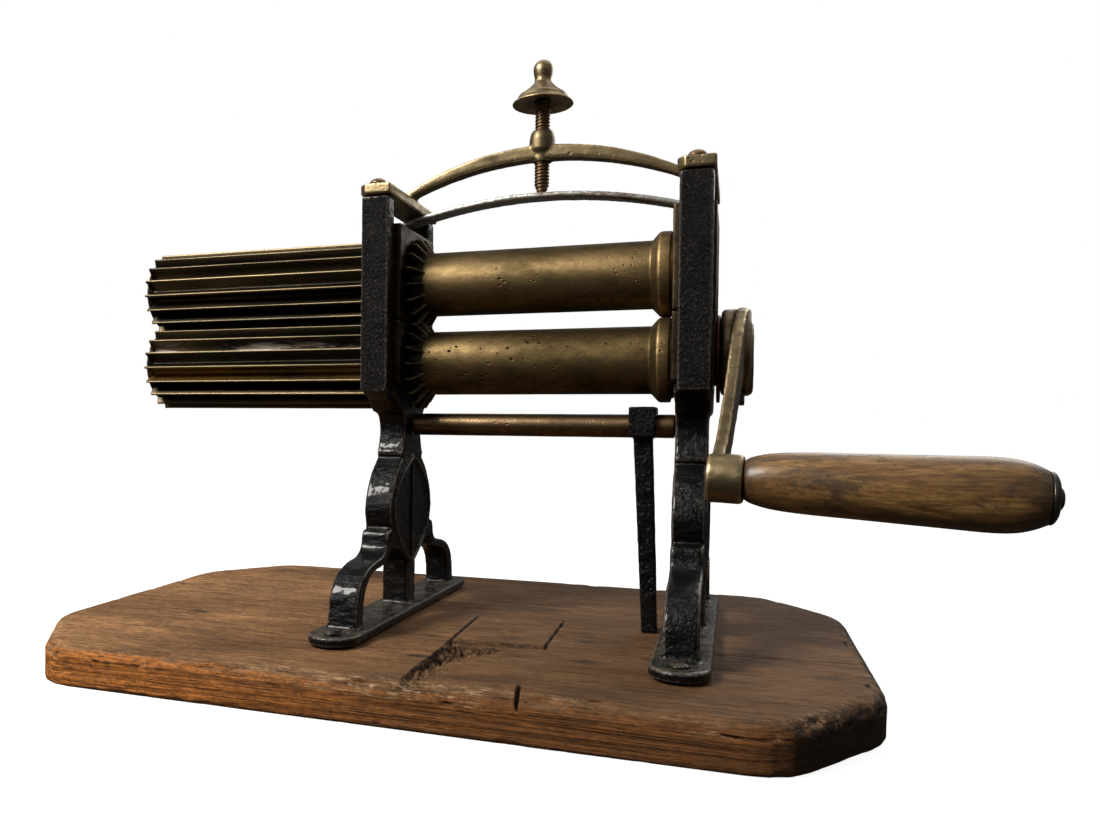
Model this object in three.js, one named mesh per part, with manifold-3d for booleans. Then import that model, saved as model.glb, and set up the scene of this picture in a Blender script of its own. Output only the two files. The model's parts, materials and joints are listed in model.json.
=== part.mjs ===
// A hand-cranked fluted roller press: two brass rollers in two cast-iron side frames on a wooden board.
// Each roller is fluted outside the left frame and smooth between the frames. Millimetres, +Z up.
// X runs along the rollers, the operator stands on the -Y side, and the origin is the middle of the
// board's underside.
import * as THREE from 'three';
import { mergeVertices } from 'three/addons/utils/BufferGeometryUtils.js';
import Module from 'manifold-3d';

// ---- driving dimensions ----
const GAP = 0.3;                 // clearance kept between pieces that touch or run in each other
const RING = 32;                 // sides of a large turned piece
const SMALL_RING = 16;           // sides of a small turned piece

const board = { length: 466, depth: 315, thick: 23, cutX: 42, cutY: 62, round: 5, corner: 14, worn: 10 };
const boardTop = board.thick;

const pressX = 55;               // middle plane between the side frames
const innerHalf = 81.4;          // half the clear width between the frames
const frame = {
  thick: 17.3, halfDepth: 43.8, windowHalf: 32.5, top: 275.6, step: 160, floor: 165,
  legInset: 2, footY: 92.3, plateHalf: 114.3, plateWidth: 28.6, plateThick: 5.7, relief: 1,
};
const frameSides = { left: -1, right: 1 };

const lowerZ = 179.15;           // lower roller axis
const upperZ = 228.05;           // upper roller axis
const roller = {
  crest: 28.65, root: 19.7, teeth: 18, crestWidth: 1.1, hollow: 3.5, endPlate: 23.6, endThick: 1.2, drum: 19.5, collar: 24.3, ring: 22, journal: 10.5,
  bore: 7.5, boreEnd: -52, fluteLength: 161,
};
// Angle of one crest above the operator's side of each roller; they add up to minus half a pitch,
// which puts the crests of one roller in the middle of the grooves of the other.
const crestAngle = { lower: -4, upper: -6 };

const block = { proud: 3.7, outside: 1.5, split: 203.6, top: 261 };
const cap = { width: 20, halfDepth: 45.5, thick: 6.6, cut: 4, screwY: 38.2 };
const arch = { top: 307.6, foot: 288, thick: 8, footThick: 4.6, width: 11, halfSpan: 80 };
const leaf = { top: 279.3, thick: 3, width: 13, halfLength: 92, rise: 14.4 };
const screw = { radius: 4.5, tip: 279.6, end: 340 };
const knob = { disc: 18.1, rimZ: 332.4, topZ: 359.2 };
const rod = { radius: 6.76, tenon: 4.5, z: 141.2 };
const stay = {
  x: 116, half: 7.5, depth: 9, eyeHalf: 10, eyeLow: 134.8, eyeTop: 152.2,
  shankHalf: 5.3, footX: 121.6, footHalf: 4.2, footZ: 14,
};
const hub = { radius: 20.8, start: 157.6, end: 174.6, shaft: 9, camRadius: 23.4, camY: -3, camZ: 4 };
const setScrew = { radius: 3, headHalf: 2.6, headHigh: 6, offset: 1.6, tilt: -20 };
const thrust = { radius: 24.5, start: 155.5, end: 157.3 };
const crank = {
  forward: 110, down: 61.6, lean: -5.5, droop: 1.8, armThick: 6, armX: 3.4,
  bossX: 8.5, bossRadius: 11.2, bossHalf: 7.9,
};
const grip = { length: 111.5, bore: 3.8, spindle: 3.5, washer: 10.6, washerThick: 3 };
const capScrew = { head: 5.35, height: 4.2, shank: 2.5, length: 18 };
const footScrew = { head: 5, height: 2.2, shank: 2.2, length: 20, y: 103 };

// ---- materials ----
const brass = new THREE.MeshStandardMaterial({ color: 0x8a6f3f, roughness: 0.42, metalness: 1 });
const darkBrass = new THREE.MeshStandardMaterial({ color: 0x57492c, roughness: 0.5, metalness: 1 });
const iron = new THREE.MeshStandardMaterial({ color: 0x18181a, roughness: 0.45, metalness: 0.3 });
const steel = new THREE.MeshStandardMaterial({ color: 0x85857f, roughness: 0.5, metalness: 0.9 });
const darkSteel = new THREE.MeshStandardMaterial({ color: 0x302c28, roughness: 0.55, metalness: 0.8 });
const boardWood = new THREE.MeshStandardMaterial({ color: 0x7a4e2c, roughness: 0.75, metalness: 0 });
const gripWood = new THREE.MeshStandardMaterial({ color: 0x8c5a2e, roughness: 0.45, metalness: 0 });

// ---- solids ----
const wasm = await Module();
wasm.setup();

function solid(geometry) {
  const bare = geometry.clone();
  bare.deleteAttribute('normal');
  bare.deleteAttribute('uv');
  const merged = mergeVertices(bare, 1e-4);
  return new wasm.Manifold(new wasm.Mesh({
    numProp: 3,
    vertProperties: new Float32Array(merged.attributes.position.array),
    triVerts: new Uint32Array(merged.index.array),
  }));
}

function geometryOf(manifold) {
  const mesh = manifold.getMesh();
  const geometry = new THREE.BufferGeometry();
  geometry.setAttribute('position', new THREE.BufferAttribute(new Float32Array(mesh.vertProperties), 3));
  geometry.setIndex(new THREE.BufferAttribute(new Uint32Array(mesh.triVerts), 1));
  geometry.computeVertexNormals();
  return geometry;
}

function box(x0, x1, y0, y1, z0, z1) {
  const geometry = new THREE.BoxGeometry(x1 - x0, y1 - y0, z1 - z0);
  geometry.translate((x0 + x1) / 2, (y0 + y1) / 2, (z0 + z1) / 2);
  return solid(geometry);
}

// Turned about the Z axis through (x, y); the profile is [radius, z] from bottom to top.
function turnedZ(profile, x = 0, y = 0, sides = SMALL_RING) {
  const geometry = new THREE.LatheGeometry(profile.map(([r, z]) => new THREE.Vector2(r, z)), sides);
  geometry.rotateX(Math.PI / 2);
  geometry.translate(x, y, 0);
  return solid(geometry);
}

// Turned about an X axis at height z; the profile is [x, radius] from left to right.
function turnedX(profile, z = 0, sides = RING) {
  const geometry = new THREE.LatheGeometry(profile.map(([x, r]) => new THREE.Vector2(r, x)), sides);
  geometry.rotateZ(-Math.PI / 2);
  geometry.translate(0, 0, z);
  return solid(geometry);
}

function rodX(x0, x1, radius, z = 0, sides = RING) {
  return turnedX([[x0, 0], [x0, radius], [x1, radius], [x1, 0]], z, sides);
}

function rodZ(z0, z1, radius, x = 0, y = 0, sides = SMALL_RING) {
  return turnedZ([[0, z0], [radius, z0], [radius, z1], [0, z1]], x, y, sides);
}

// A shape drawn in (y, z), given thickness from x0 to x1.
function slabX(shape, x0, x1, curveSegments = 8) {
  const geometry = new THREE.ExtrudeGeometry(shape, { depth: x1 - x0, bevelEnabled: false, curveSegments });
  const axes = [new THREE.Vector3(0, 1, 0), new THREE.Vector3(0, 0, 1), new THREE.Vector3(1, 0, 0)];
  geometry.applyMatrix4(new THREE.Matrix4().makeBasis(...axes));
  geometry.translate(x0, 0, 0);
  return solid(geometry);
}

// A shape drawn in (x, z), given thickness in Y about y = 0.
function slabY(shape, width, curveSegments = 8) {
  const geometry = new THREE.ExtrudeGeometry(shape, { depth: width, bevelEnabled: false, curveSegments });
  geometry.rotateX(Math.PI / 2);
  geometry.translate(0, width / 2, 0);
  return solid(geometry);
}

function polygon(points) {
  return new THREE.Shape(points.map(([a, b]) => new THREE.Vector2(a, b)));
}

function moved(manifold, matrix) {
  return solid(geometryOf(manifold).applyMatrix4(matrix));
}

const press = new THREE.Group();

function add(name, manifold, material) {
  const mesh = new THREE.Mesh(geometryOf(manifold), material);
  mesh.name = name;
  press.add(mesh);
}

// ---- base board ----
function footScrewPlaces() {
  return Object.values(frameSides).flatMap((side) => [-1, 1].map((end) => [plateX(side), end * footScrew.y]));
}

// The rectangle with its four corners sawn off; the corner towards the operator on the fluted side is
// worn back further than the others.
function boardOutline() {
  const x = board.length / 2 - board.round;
  const y = board.depth / 2 - board.round;
  const cornerX = x - board.cutX;
  const cornerY = y - board.cutY;
  const corners = [
    [board.worn - cornerX, -y], [cornerX, -y], [x, -cornerY], [x, cornerY],
    [cornerX, y], [-cornerX, y], [-x, cornerY], [board.worn - x, -cornerY],
  ].map(([a, b]) => new THREE.Vector2(a, b));
  const shape = new THREE.Shape();
  corners.forEach((corner, index) => {
    const before = corners.at(index - 1).clone().sub(corner).setLength(board.corner).add(corner);
    const after = corners[(index + 1) % corners.length].clone().sub(corner).setLength(board.corner).add(corner);
    if (index === 0) {
      shape.moveTo(before.x, before.y);
    } else {
      shape.lineTo(before.x, before.y);
    }
    shape.quadraticCurveTo(corner.x, corner.y, after.x, after.y);
  });
  return shape;
}

function baseBoard() {
  const geometry = new THREE.ExtrudeGeometry(boardOutline(), {
    depth: board.thick - 2 * board.round, bevelSize: board.round, bevelThickness: board.round,
    bevelSegments: 2, curveSegments: 3,
  });
  geometry.translate(0, 0, board.round);
  let body = solid(geometry);
  for (const [x, y] of footScrewPlaces()) {
    body = body.subtract(rodZ(boardTop - 16, boardTop + 1, footScrew.shank + GAP, x, y));
  }
  return body.subtract(stayShank(GAP));
}

// ---- side frames ----
// The two frames are castings from one pattern, both with the ornament towards the crank. Below the fork
// each is set in a little towards the middle plane.
function frameSpan(side) {
  const inner = pressX + side * innerHalf;
  const outer = inner + side * frame.thick;
  return side < 0 ? [outer, inner] : [inner, outer];
}

function legSpan(side) {
  return frameSpan(side).map((x) => x - side * frame.legInset);
}

function middle([a, b]) {
  return (a + b) / 2;
}

function plateX(side) {
  return middle(legSpan(side));
}

// Half of the fork that holds the bearing blocks, with a sliver past the middle to join the halves.
function forkHalf() {
  return polygon([
    [-1, frame.step - 12], [-1, frame.floor], [frame.windowHalf, frame.floor],
    [frame.windowHalf, frame.top], [frame.halfDepth, frame.top], [frame.halfDepth, frame.step],
    [38.5, 159.2], [30.3, 155.3], [22, frame.step - 12],
  ]);
}

// Half of the neck, the vase-shaped body and the ogee leg.
function legHalf() {
  const shape = new THREE.Shape();
  shape.moveTo(-1, frame.floor);
  shape.lineTo(frame.windowHalf, frame.floor - 1);
  shape.lineTo(38.5, 159.2);
  shape.bezierCurveTo(26, 154.5, 15, 148, 14.9, 137);
  shape.quadraticCurveTo(15.2, 129, 19.2, 124);
  shape.lineTo(19.2, 121.8);
  shape.lineTo(17.2, 120.8);
  shape.bezierCurveTo(29, 113, 38.2, 101, 38.4, 89);
  shape.quadraticCurveTo(38.2, 82, 35.6, 78.4);
  shape.lineTo(41.5, 77.4);
  shape.quadraticCurveTo(43.6, 76, 43.8, 71);
  shape.bezierCurveTo(44.5, 65, 50, 63.2, 60, 62.3);
  shape.bezierCurveTo(75, 60.5, 87, 55, 89.5, 43);
  shape.lineTo(frame.footY, boardTop + 1);
  shape.lineTo(frame.footY - 11.5, boardTop + 1);
  shape.lineTo(79.4, 40.6);
  shape.bezierCurveTo(78, 50, 70, 56.2, 60, 57);
  shape.bezierCurveTo(50, 57.8, 41, 59, 37, 66.5);
  shape.quadraticCurveTo(24, 68, 7, 55.5);
  shape.lineTo(7, boardTop + 1);
  shape.lineTo(-1, boardTop + 1);
  return shape;
}

// The pointed oval that stands a little proud of the casting's face towards the crank.
function ovalPanel() {
  const shape = new THREE.Shape();
  shape.moveTo(0, 121);
  shape.bezierCurveTo(47, 100, 44, 76, 0, 53.5);
  shape.bezierCurveTo(-44, 76, -47, 100, 0, 121);
  return shape;
}

function footPlate(side) {
  const shape = new THREE.Shape();
  const radius = frame.plateWidth / 2;
  const straight = frame.plateHalf - radius;
  shape.absarc(0, straight, radius, 0, Math.PI, false);
  shape.absarc(0, -straight, radius, Math.PI, 2 * Math.PI, false);
  const geometry = new THREE.ExtrudeGeometry(shape, {
    depth: frame.plateThick - GAP, bevelEnabled: false, curveSegments: 10,
  });
  geometry.translate(plateX(side), 0, boardTop + GAP);
  return solid(geometry);
}

function mirroredY(manifold) {
  return manifold.add(manifold.mirror([0, 1, 0]));
}

function sideFrame(side) {
  const above = box(-1e3, 1e3, -1e3, 1e3, boardTop + GAP, 1e3);
  let body = mirroredY(slabX(forkHalf(), ...frameSpan(side)));
  body = body.add(mirroredY(slabX(legHalf(), ...legSpan(side))).intersect(above));
  const [x0, x1] = legSpan(side);
  body = body.add(slabX(ovalPanel(), x0 + 1, x1 + frame.relief, 8)).add(footPlate(side));
  body = body.subtract(rodX(x0 - 5, x1 + 5, rod.tenon + GAP, rod.z, SMALL_RING));
  for (const end of [-1, 1]) {
    const capX = middle(frameSpan(side));
    body = body
      .subtract(rodZ(frame.top - 14, frame.top + 1, capScrew.shank + GAP, capX, end * cap.screwY))
      .subtract(rodZ(boardTop - 1, boardTop + 12, footScrew.shank + GAP, plateX(side), end * footScrew.y));
  }
  return body;
}

// ---- bearing blocks ----
function blockSpan(side) {
  const [x0, x1] = frameSpan(side);
  return side < 0 ? [x0 - block.outside, x1 + block.proud] : [x0 - block.proud, x1 + block.outside];
}

function lowerBlock(side) {
  const [x0, x1] = blockSpan(side);
  const half = frame.windowHalf - GAP;
  const seat = roller.journal + GAP;
  return box(x0, x1, -half, half, frame.floor + GAP, block.split - GAP)
    .subtract(rodX(x0 - 1, x1 + 1, seat, lowerZ))
    .subtract(box(x0 - 1, x1 + 1, -seat, seat, lowerZ, block.split + 1));
}

function upperBlock(side) {
  const [x0, x1] = blockSpan(side);
  const half = frame.windowHalf - GAP;
  const seat = roller.journal + GAP;
  return box(x0, x1, -half, half, block.split + GAP, block.top)
    .subtract(rodX(x0 - 1, x1 + 1, seat, upperZ))
    .subtract(box(x0 - 1, x1 + 1, -seat, seat, block.split - 1, upperZ));
}

// ---- rollers ----
// Section of the fluted drum: narrow crests with broad round-bottomed hollows between them.
function flutedShape(angleDeg, z) {
  const pitch = (2 * Math.PI) / roller.teeth;
  const crestHalf = roller.crestWidth / 2 / roller.crest;
  const hollowHalf = pitch / 2 - crestHalf;
  const points = [];
  const put = (radius, angle) => points.push([-radius * Math.cos(angle), z + radius * Math.sin(angle)]);
  for (let tooth = 0; tooth < roller.teeth; tooth += 1) {
    const start = THREE.MathUtils.degToRad(angleDeg) + tooth * pitch;
    put(roller.crest, start - crestHalf);
    put(roller.crest, start + crestHalf);
    for (const t of [-0.9, -0.7, -0.35, 0.35, 0.7, 0.9]) {
      const radius = roller.crest - (roller.crest - roller.root) * (1 - Math.abs(t) ** roller.hollow);
      put(radius, start + pitch / 2 + t * hollowHalf);
    }
  }
  return polygon(points.reverse());
}

function rollerBody(z, angleDeg, end) {
  const [leftOuter, leftInner] = frameSpan(frameSides.left);
  const fluteEnd = leftOuter - block.outside - GAP;
  const fluteStart = fluteEnd - roller.fluteLength;
  const crownStart = leftInner + block.proud + GAP;
  const crownFull = crownStart + 4.2;
  const crownEnd = crownStart + 10.5;
  const rightInner = pressX + innerHalf;
  const ringEnd = rightInner - block.proud - GAP;
  const ringStart = ringEnd - 1.6;
  const collarStart = ringStart - 10.6;
  const shape = flutedShape(angleDeg, z);
  const crown = slabX(shape, crownStart, crownEnd).intersect(turnedX([
    [crownStart, 0], [crownStart, roller.crest + 1], [crownFull, roller.crest + 1],
    [crownEnd, roller.drum + 0.4], [crownEnd, 0],
  ], z));
  const shaft = turnedX([
    [fluteEnd - 2, 0], [fluteEnd - 2, roller.journal], [crownStart + 2, roller.journal],
    [crownStart + 2, roller.drum], [collarStart, roller.drum], [collarStart + 3.6, roller.collar - 0.6],
    [collarStart + 4.6, roller.collar], [ringStart, roller.collar], [ringStart, roller.ring],
    [ringEnd, roller.ring], [ringEnd, roller.journal], [end.journal, roller.journal],
    [end.journal, end.radius], [end.x, end.radius], [end.x, 0],
  ], z);
  const plateStart = fluteStart - roller.endThick;
  const endPlate = turnedX([
    [plateStart, 0], [plateStart, roller.endPlate], [fluteStart, roller.endPlate],
    [fluteStart, roller.root - 1], [fluteStart + 2, roller.root - 1], [fluteStart + 2, 0],
  ], z);
  return slabX(shape, fluteStart, fluteEnd)
    .add(endPlate)
    .add(crown)
    .add(shaft)
    .subtract(rodX(plateStart - 1, roller.boreEnd, roller.bore, z, SMALL_RING));
}

const rightOuter = pressX + innerHalf + frame.thick + block.outside;
const plainEnd = { journal: rightOuter - 1, radius: roller.journal - 1, x: rightOuter };
const shaftEnd = { journal: rightOuter, radius: hub.shaft, x: hub.end - 0.4 };

// ---- bridge, spring and pressure screw ----
function capBar(side) {
  const x = middle(frameSpan(side));
  const x0 = x - cap.width / 2;
  const x1 = x + cap.width / 2;
  const y = cap.halfDepth;
  const geometry = new THREE.ExtrudeGeometry(polygon([
    [x0 + cap.cut, -y], [x1, -y], [x1, y], [x0 + cap.cut, y], [x0, y - cap.cut], [x0, cap.cut - y],
  ]), { depth: cap.thick, bevelEnabled: false });
  geometry.translate(0, 0, frame.top + GAP);
  let body = solid(geometry);
  for (const end of [-1, 1]) {
    body = body.subtract(rodZ(frame.top, frame.top + 10, capScrew.shank + GAP, x, end * cap.screwY));
  }
  return body;
}

// Circle through the crown and both feet of a bow with the given rise over the given half span.
function bowRadius(halfSpan, rise) {
  return (halfSpan ** 2 + rise ** 2) / (2 * rise);
}

// A bow that may be thinner at its feet than at its crown.
function bowShape(top, halfSpan, rise, thick, footThick = thick) {
  const radius = bowRadius(halfSpan, rise);
  const half = Math.asin(halfSpan / radius);
  const innerRadius = bowRadius(halfSpan, rise - thick + footThick);
  const innerHalf = Math.asin(halfSpan / innerRadius);
  const shape = new THREE.Shape();
  shape.absarc(pressX, top - radius, radius, Math.PI / 2 - half, Math.PI / 2 + half, false);
  const centre = top - thick - innerRadius;
  shape.absarc(pressX, centre, innerRadius, Math.PI / 2 + innerHalf, Math.PI / 2 - innerHalf, true);
  return shape;
}

function bridge() {
  const feet = Object.values(frameSides).map((side) => {
    const inner = pressX + side * arch.halfSpan;
    const outer = middle(frameSpan(side));
    return slabY(polygon([
      [inner - side * 1.5, arch.foot - arch.footThick + 0.5], [inner - side * 1, arch.foot + 0.4],
      [outer, frame.top + cap.thick + 0.2], [outer, frame.top + 1],
    ]), arch.width);
  });
  let body = capBar(frameSides.left).add(capBar(frameSides.right));
  for (const foot of feet) {
    body = body.add(foot);
  }
  const bow = bowShape(arch.top, arch.halfSpan, arch.top - arch.foot, arch.thick, arch.footThick);
  body = body.add(slabY(bow, arch.width, 14));
  body = body.add(turnedZ([
    [0, arch.top - 9.5], [6, arch.top - 9.5], [6, arch.top - 5], [7.9, arch.top - 2], [7.7, arch.top + 4],
    [6.8, arch.top + 8], [5, arch.top + 10], [0, arch.top + 10],
  ], pressX, 0, 24));
  return body.subtract(rodZ(arch.top - 20, arch.top + 20, screw.radius + GAP, pressX));
}

function leafSpring() {
  return slabY(bowShape(leaf.top, leaf.halfLength, leaf.rise, leaf.thick), leaf.width, 10);
}

function pressureScrew() {
  return turnedZ([
    [0, screw.tip], [2.6, screw.tip], [screw.radius, screw.tip + 5], [screw.radius, screw.end], [0, screw.end],
  ], pressX);
}

function pressureKnob() {
  const bore = screw.radius + GAP;
  return turnedZ([
    [0, screw.end + GAP], [bore, screw.end + GAP], [bore, knob.rimZ + 1.4], [7, knob.rimZ + 1.4],
    [16.6, knob.rimZ + 0.2], [knob.disc, knob.rimZ], [knob.disc, knob.rimZ + 0.9], [14.9, knob.rimZ + 5],
    [9.8, knob.rimZ + 8.6], [6.2, knob.rimZ + 12], [5.1, knob.rimZ + 14.2], [5.3, knob.rimZ + 16],
    [5.8, knob.rimZ + 21], [5.1, knob.topZ - 2.4], [3, knob.topZ - 0.5], [0, knob.topZ],
  ], pressX, 0, 24);
}

function domeScrew(size, x, y, seatZ) {
  return turnedZ([
    [0, seatZ - size.length], [size.shank, seatZ - size.length], [size.shank, seatZ + GAP],
    [size.head, seatZ + GAP], [size.head * 0.93, seatZ + size.height * 0.45],
    [size.head * 0.6, seatZ + size.height * 0.87], [0, seatZ + size.height],
  ], x, y);
}

// ---- tie rod and its stay ----
function tieRod() {
  const left = legSpan(frameSides.left);
  const right = legSpan(frameSides.right);
  return turnedX([
    [left[0], 0], [left[0], rod.tenon], [left[1] + frame.relief, rod.tenon],
    [left[1] + frame.relief, rod.radius], [right[0] - frame.relief, rod.radius],
    [right[0] - frame.relief, rod.tenon], [right[1], rod.tenon], [right[1], 0],
  ], rod.z, 24);
}

// The tapering shank under the stay's eye, let into the board; grown by the gap, it is its own mortise.
function stayShank(grow) {
  const joinZ = stay.eyeLow + 2;
  return slabY(polygon([
    [stay.x - stay.shankHalf - grow, joinZ], [stay.footX - stay.footHalf - grow, stay.footZ - grow],
    [stay.footX + stay.footHalf + grow, stay.footZ - grow], [stay.x + stay.shankHalf + grow, joinZ],
  ]), stay.depth + 2 * grow);
}

function rodStay() {
  return box(stay.x - stay.half, stay.x + stay.half, -stay.eyeHalf, stay.eyeHalf, stay.eyeLow, stay.eyeTop)
    .add(stayShank(0))
    .subtract(rodX(stay.x - 20, stay.x + 20, rod.radius + GAP, rod.z, 24));
}

// ---- crank ----
// Crank pieces are drawn with the hub's middle as their origin and the crank arm straight forward of it,
// then turned by the bend that the arm has where it leaves the hub.
const hubX = middle([hub.start, hub.end]);
const bend = new THREE.Matrix4().makeTranslation(hubX, 0, lowerZ)
  .multiply(new THREE.Matrix4().makeRotationZ(THREE.MathUtils.degToRad(crank.lean)))
  .multiply(new THREE.Matrix4().makeRotationY(THREE.MathUtils.degToRad(crank.droop)));
const toBoss = new THREE.Matrix4().makeTranslation(crank.bossX, -crank.forward, -crank.down);

function onHandle(manifold) {
  return moved(moved(manifold, toBoss), bend);
}

function crankArm() {
  const shape = new THREE.Shape();
  shape.moveTo(-4, 26.6);
  shape.bezierCurveTo(-48, 34.6, -56, -44, -crank.forward, -crank.down + 6.5);
  shape.lineTo(-crank.forward, -crank.down - 6.5);
  shape.bezierCurveTo(-74, -72, -46, -22, -18, -8);
  shape.lineTo(-4, -8);
  const armSlab = slabX(shape, crank.armX - crank.armThick / 2, crank.armX + crank.armThick / 2, 12);
  const arm = moved(armSlab, bend);
  const boss = onHandle(turnedX([
    [-crank.bossHalf, 0], [-crank.bossHalf, crank.bossRadius - 0.8], [-crank.bossHalf + 0.8, crank.bossRadius],
    [crank.bossHalf - 0.8, crank.bossRadius], [crank.bossHalf, crank.bossRadius - 0.8], [crank.bossHalf, 0],
  ], 0, 24));
  const disc = turnedX([
    [hub.start, 0], [hub.start, hub.radius - 1.5], [hub.start + 1.5, hub.radius], [hub.end - 2, hub.radius],
    [hub.end, hub.radius - 2], [hub.end, 0],
  ], lowerZ);
  const cam = turnedX([
    [hub.start, 0], [hub.start, hub.camRadius - 1.5], [hub.start + 1.5, hub.camRadius],
    [hub.end - 2.5, hub.camRadius], [hub.end - 1.5, hub.camRadius - 1], [hub.end - 1.5, 0],
  ], lowerZ + hub.camZ).translate(0, hub.camY, 0);
  return disc.add(cam).add(arm).add(boss)
    .subtract(rodX(hub.start - 1, hub.end + 1, hub.shaft + GAP, lowerZ))
    .subtract(onHandle(rodX(-20, 20, grip.bore, 0, SMALL_RING)))
    .subtract(setScrewAt(rodZ(-hub.radius - 8, -hub.shaft, setScrew.radius + GAP)));
}

// The set screw enters the hub from below, a little to the operator's side.
function setScrewAt(manifold) {
  const place = new THREE.Matrix4().makeTranslation(hubX + setScrew.offset, 0, lowerZ)
    .multiply(new THREE.Matrix4().makeRotationX(THREE.MathUtils.degToRad(setScrew.tilt)));
  return moved(manifold, place);
}

function thrustWasher() {
  const disc = turnedX([
    [thrust.start, 0], [thrust.start, thrust.radius], [thrust.end, thrust.radius], [thrust.end, 0],
  ], lowerZ);
  return disc.subtract(rodX(thrust.start - 1, thrust.end + 1, hub.shaft + GAP, lowerZ));
}

function hubSetScrew() {
  const half = setScrew.headHalf;
  const top = -hub.radius - GAP;
  const head = box(-half, half, -half, half, top - setScrew.headHigh, top);
  return setScrewAt(rodZ(top - 1, -hub.shaft - GAP, setScrew.radius).add(head));
}

const gripStart = crank.bossHalf + GAP;
const gripEnd = gripStart + grip.length;
const washerStart = gripEnd + GAP;
const washerEnd = washerStart + grip.washerThick;

function woodGrip() {
  const body = turnedX([
    [gripStart, 0], [gripStart, 8.8], [gripStart + 3, 10.4], [gripStart + 11, 12.3], [gripStart + 24, 13.4],
    [gripStart + 48, 14.1], [gripStart + 76, 14.9], [gripStart + 92, 15.3], [gripStart + 101, 14.7],
    [gripStart + 107, 13], [gripEnd, 10.8], [gripEnd, 0],
  ]);
  return onHandle(body.subtract(rodX(gripStart - 1, gripEnd + 1, grip.bore, 0, SMALL_RING)));
}

function gripSpindle() {
  return onHandle(turnedX([
    [-crank.bossHalf, 0], [-crank.bossHalf, grip.spindle], [washerEnd + GAP, grip.spindle],
    [washerEnd + GAP, 4.6], [washerEnd + 1.5, 4.2], [washerEnd + 2.3, 2.4], [washerEnd + 2.3, 0],
  ], 0, SMALL_RING));
}

function gripWasher() {
  const disc = turnedX([
    [washerStart, 0], [washerStart, grip.washer], [washerStart + 1.4, grip.washer], [washerEnd, 8.2],
    [washerEnd, 0],
  ], 0, 24);
  return onHandle(disc.subtract(rodX(washerStart - 1, washerEnd + 1, grip.bore, 0, SMALL_RING)));
}

// ---- assembly ----
add('base_board', baseBoard(), boardWood);
for (const [name, side] of Object.entries(frameSides)) {
  add(`${name}_side_frame`, sideFrame(side), iron);
  add(`${name}_lower_bearing`, lowerBlock(side), brass);
  add(`${name}_upper_bearing`, upperBlock(side), brass);
  for (const [place, end] of [['front', -1], ['rear', 1]]) {
    const capTop = frame.top + GAP + cap.thick;
    const capScrewBody = domeScrew(capScrew, middle(frameSpan(side)), end * cap.screwY, capTop);
    add(`${name}_${place}_cap_screw`, capScrewBody, darkBrass);
    const footScrewBody = domeScrew(footScrew, plateX(side), end * footScrew.y, boardTop + frame.plateThick);
    add(`${name}_${place}_foot_screw`, footScrewBody, darkSteel);
  }
}
add('lower_roller', rollerBody(lowerZ, crestAngle.lower, shaftEnd), brass);
add('upper_roller', rollerBody(upperZ, crestAngle.upper, plainEnd), brass);
add('bridge', bridge(), brass);
add('leaf_spring', leafSpring(), steel);
add('pressure_screw', pressureScrew(), darkBrass);
add('pressure_knob', pressureKnob(), brass);
add('tie_rod', tieRod(), brass);
add('rod_stay', rodStay(), iron);
add('thrust_washer', thrustWasher(), darkBrass);
add('crank_arm', crankArm(), brass);
add('hub_set_screw', hubSetScrew(), darkSteel);
add('grip_spindle', gripSpindle(), darkSteel);
add('grip_washer', gripWasher(), darkSteel);
add('wood_grip', woodGrip(), gripWood);

export default press;
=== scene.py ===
import json
import math

import bmesh
import bpy
import numpy as np
from mathutils import Matrix, Vector, noise


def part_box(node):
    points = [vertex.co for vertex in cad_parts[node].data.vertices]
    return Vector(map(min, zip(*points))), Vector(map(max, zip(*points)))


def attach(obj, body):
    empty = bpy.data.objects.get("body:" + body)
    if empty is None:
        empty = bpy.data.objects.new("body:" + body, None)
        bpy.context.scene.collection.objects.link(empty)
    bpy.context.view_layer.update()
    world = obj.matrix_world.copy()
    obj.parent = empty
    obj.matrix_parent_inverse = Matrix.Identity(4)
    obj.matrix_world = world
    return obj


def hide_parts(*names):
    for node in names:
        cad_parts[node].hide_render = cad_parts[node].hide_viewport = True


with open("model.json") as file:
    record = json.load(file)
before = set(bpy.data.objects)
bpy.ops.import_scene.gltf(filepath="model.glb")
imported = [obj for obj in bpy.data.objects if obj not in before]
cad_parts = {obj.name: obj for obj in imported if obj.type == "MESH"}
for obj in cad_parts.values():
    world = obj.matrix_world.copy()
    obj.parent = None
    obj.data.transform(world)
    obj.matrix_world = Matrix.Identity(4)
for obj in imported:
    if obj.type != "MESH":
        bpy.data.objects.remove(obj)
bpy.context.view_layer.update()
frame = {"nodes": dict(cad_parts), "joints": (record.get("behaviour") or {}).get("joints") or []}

MM = 0.001
UP = Vector((0, 0, 1))
ALONG = Vector((1, 0, 0))

LOWER_AXIS = next(Vector(j["pos_m"]) for j in frame["joints"] if j["name"] == "crank_turn")
UPPER_AXIS = next(Vector(j["pos_m"]) for j in frame["joints"] if j["name"] == "upper_turn")
GRIP_AT = next(Vector(j["pos_m"]) for j in frame["joints"] if j["name"] == "grip_spin")
GRIP_ALONG = next(Vector(j["axis"]) for j in frame["joints"] if j["name"] == "grip_spin").normalized()
SCREW_AT = next(Vector(j["pos_m"]) for j in frame["joints"] if j["name"] == "screw_turn")


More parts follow.
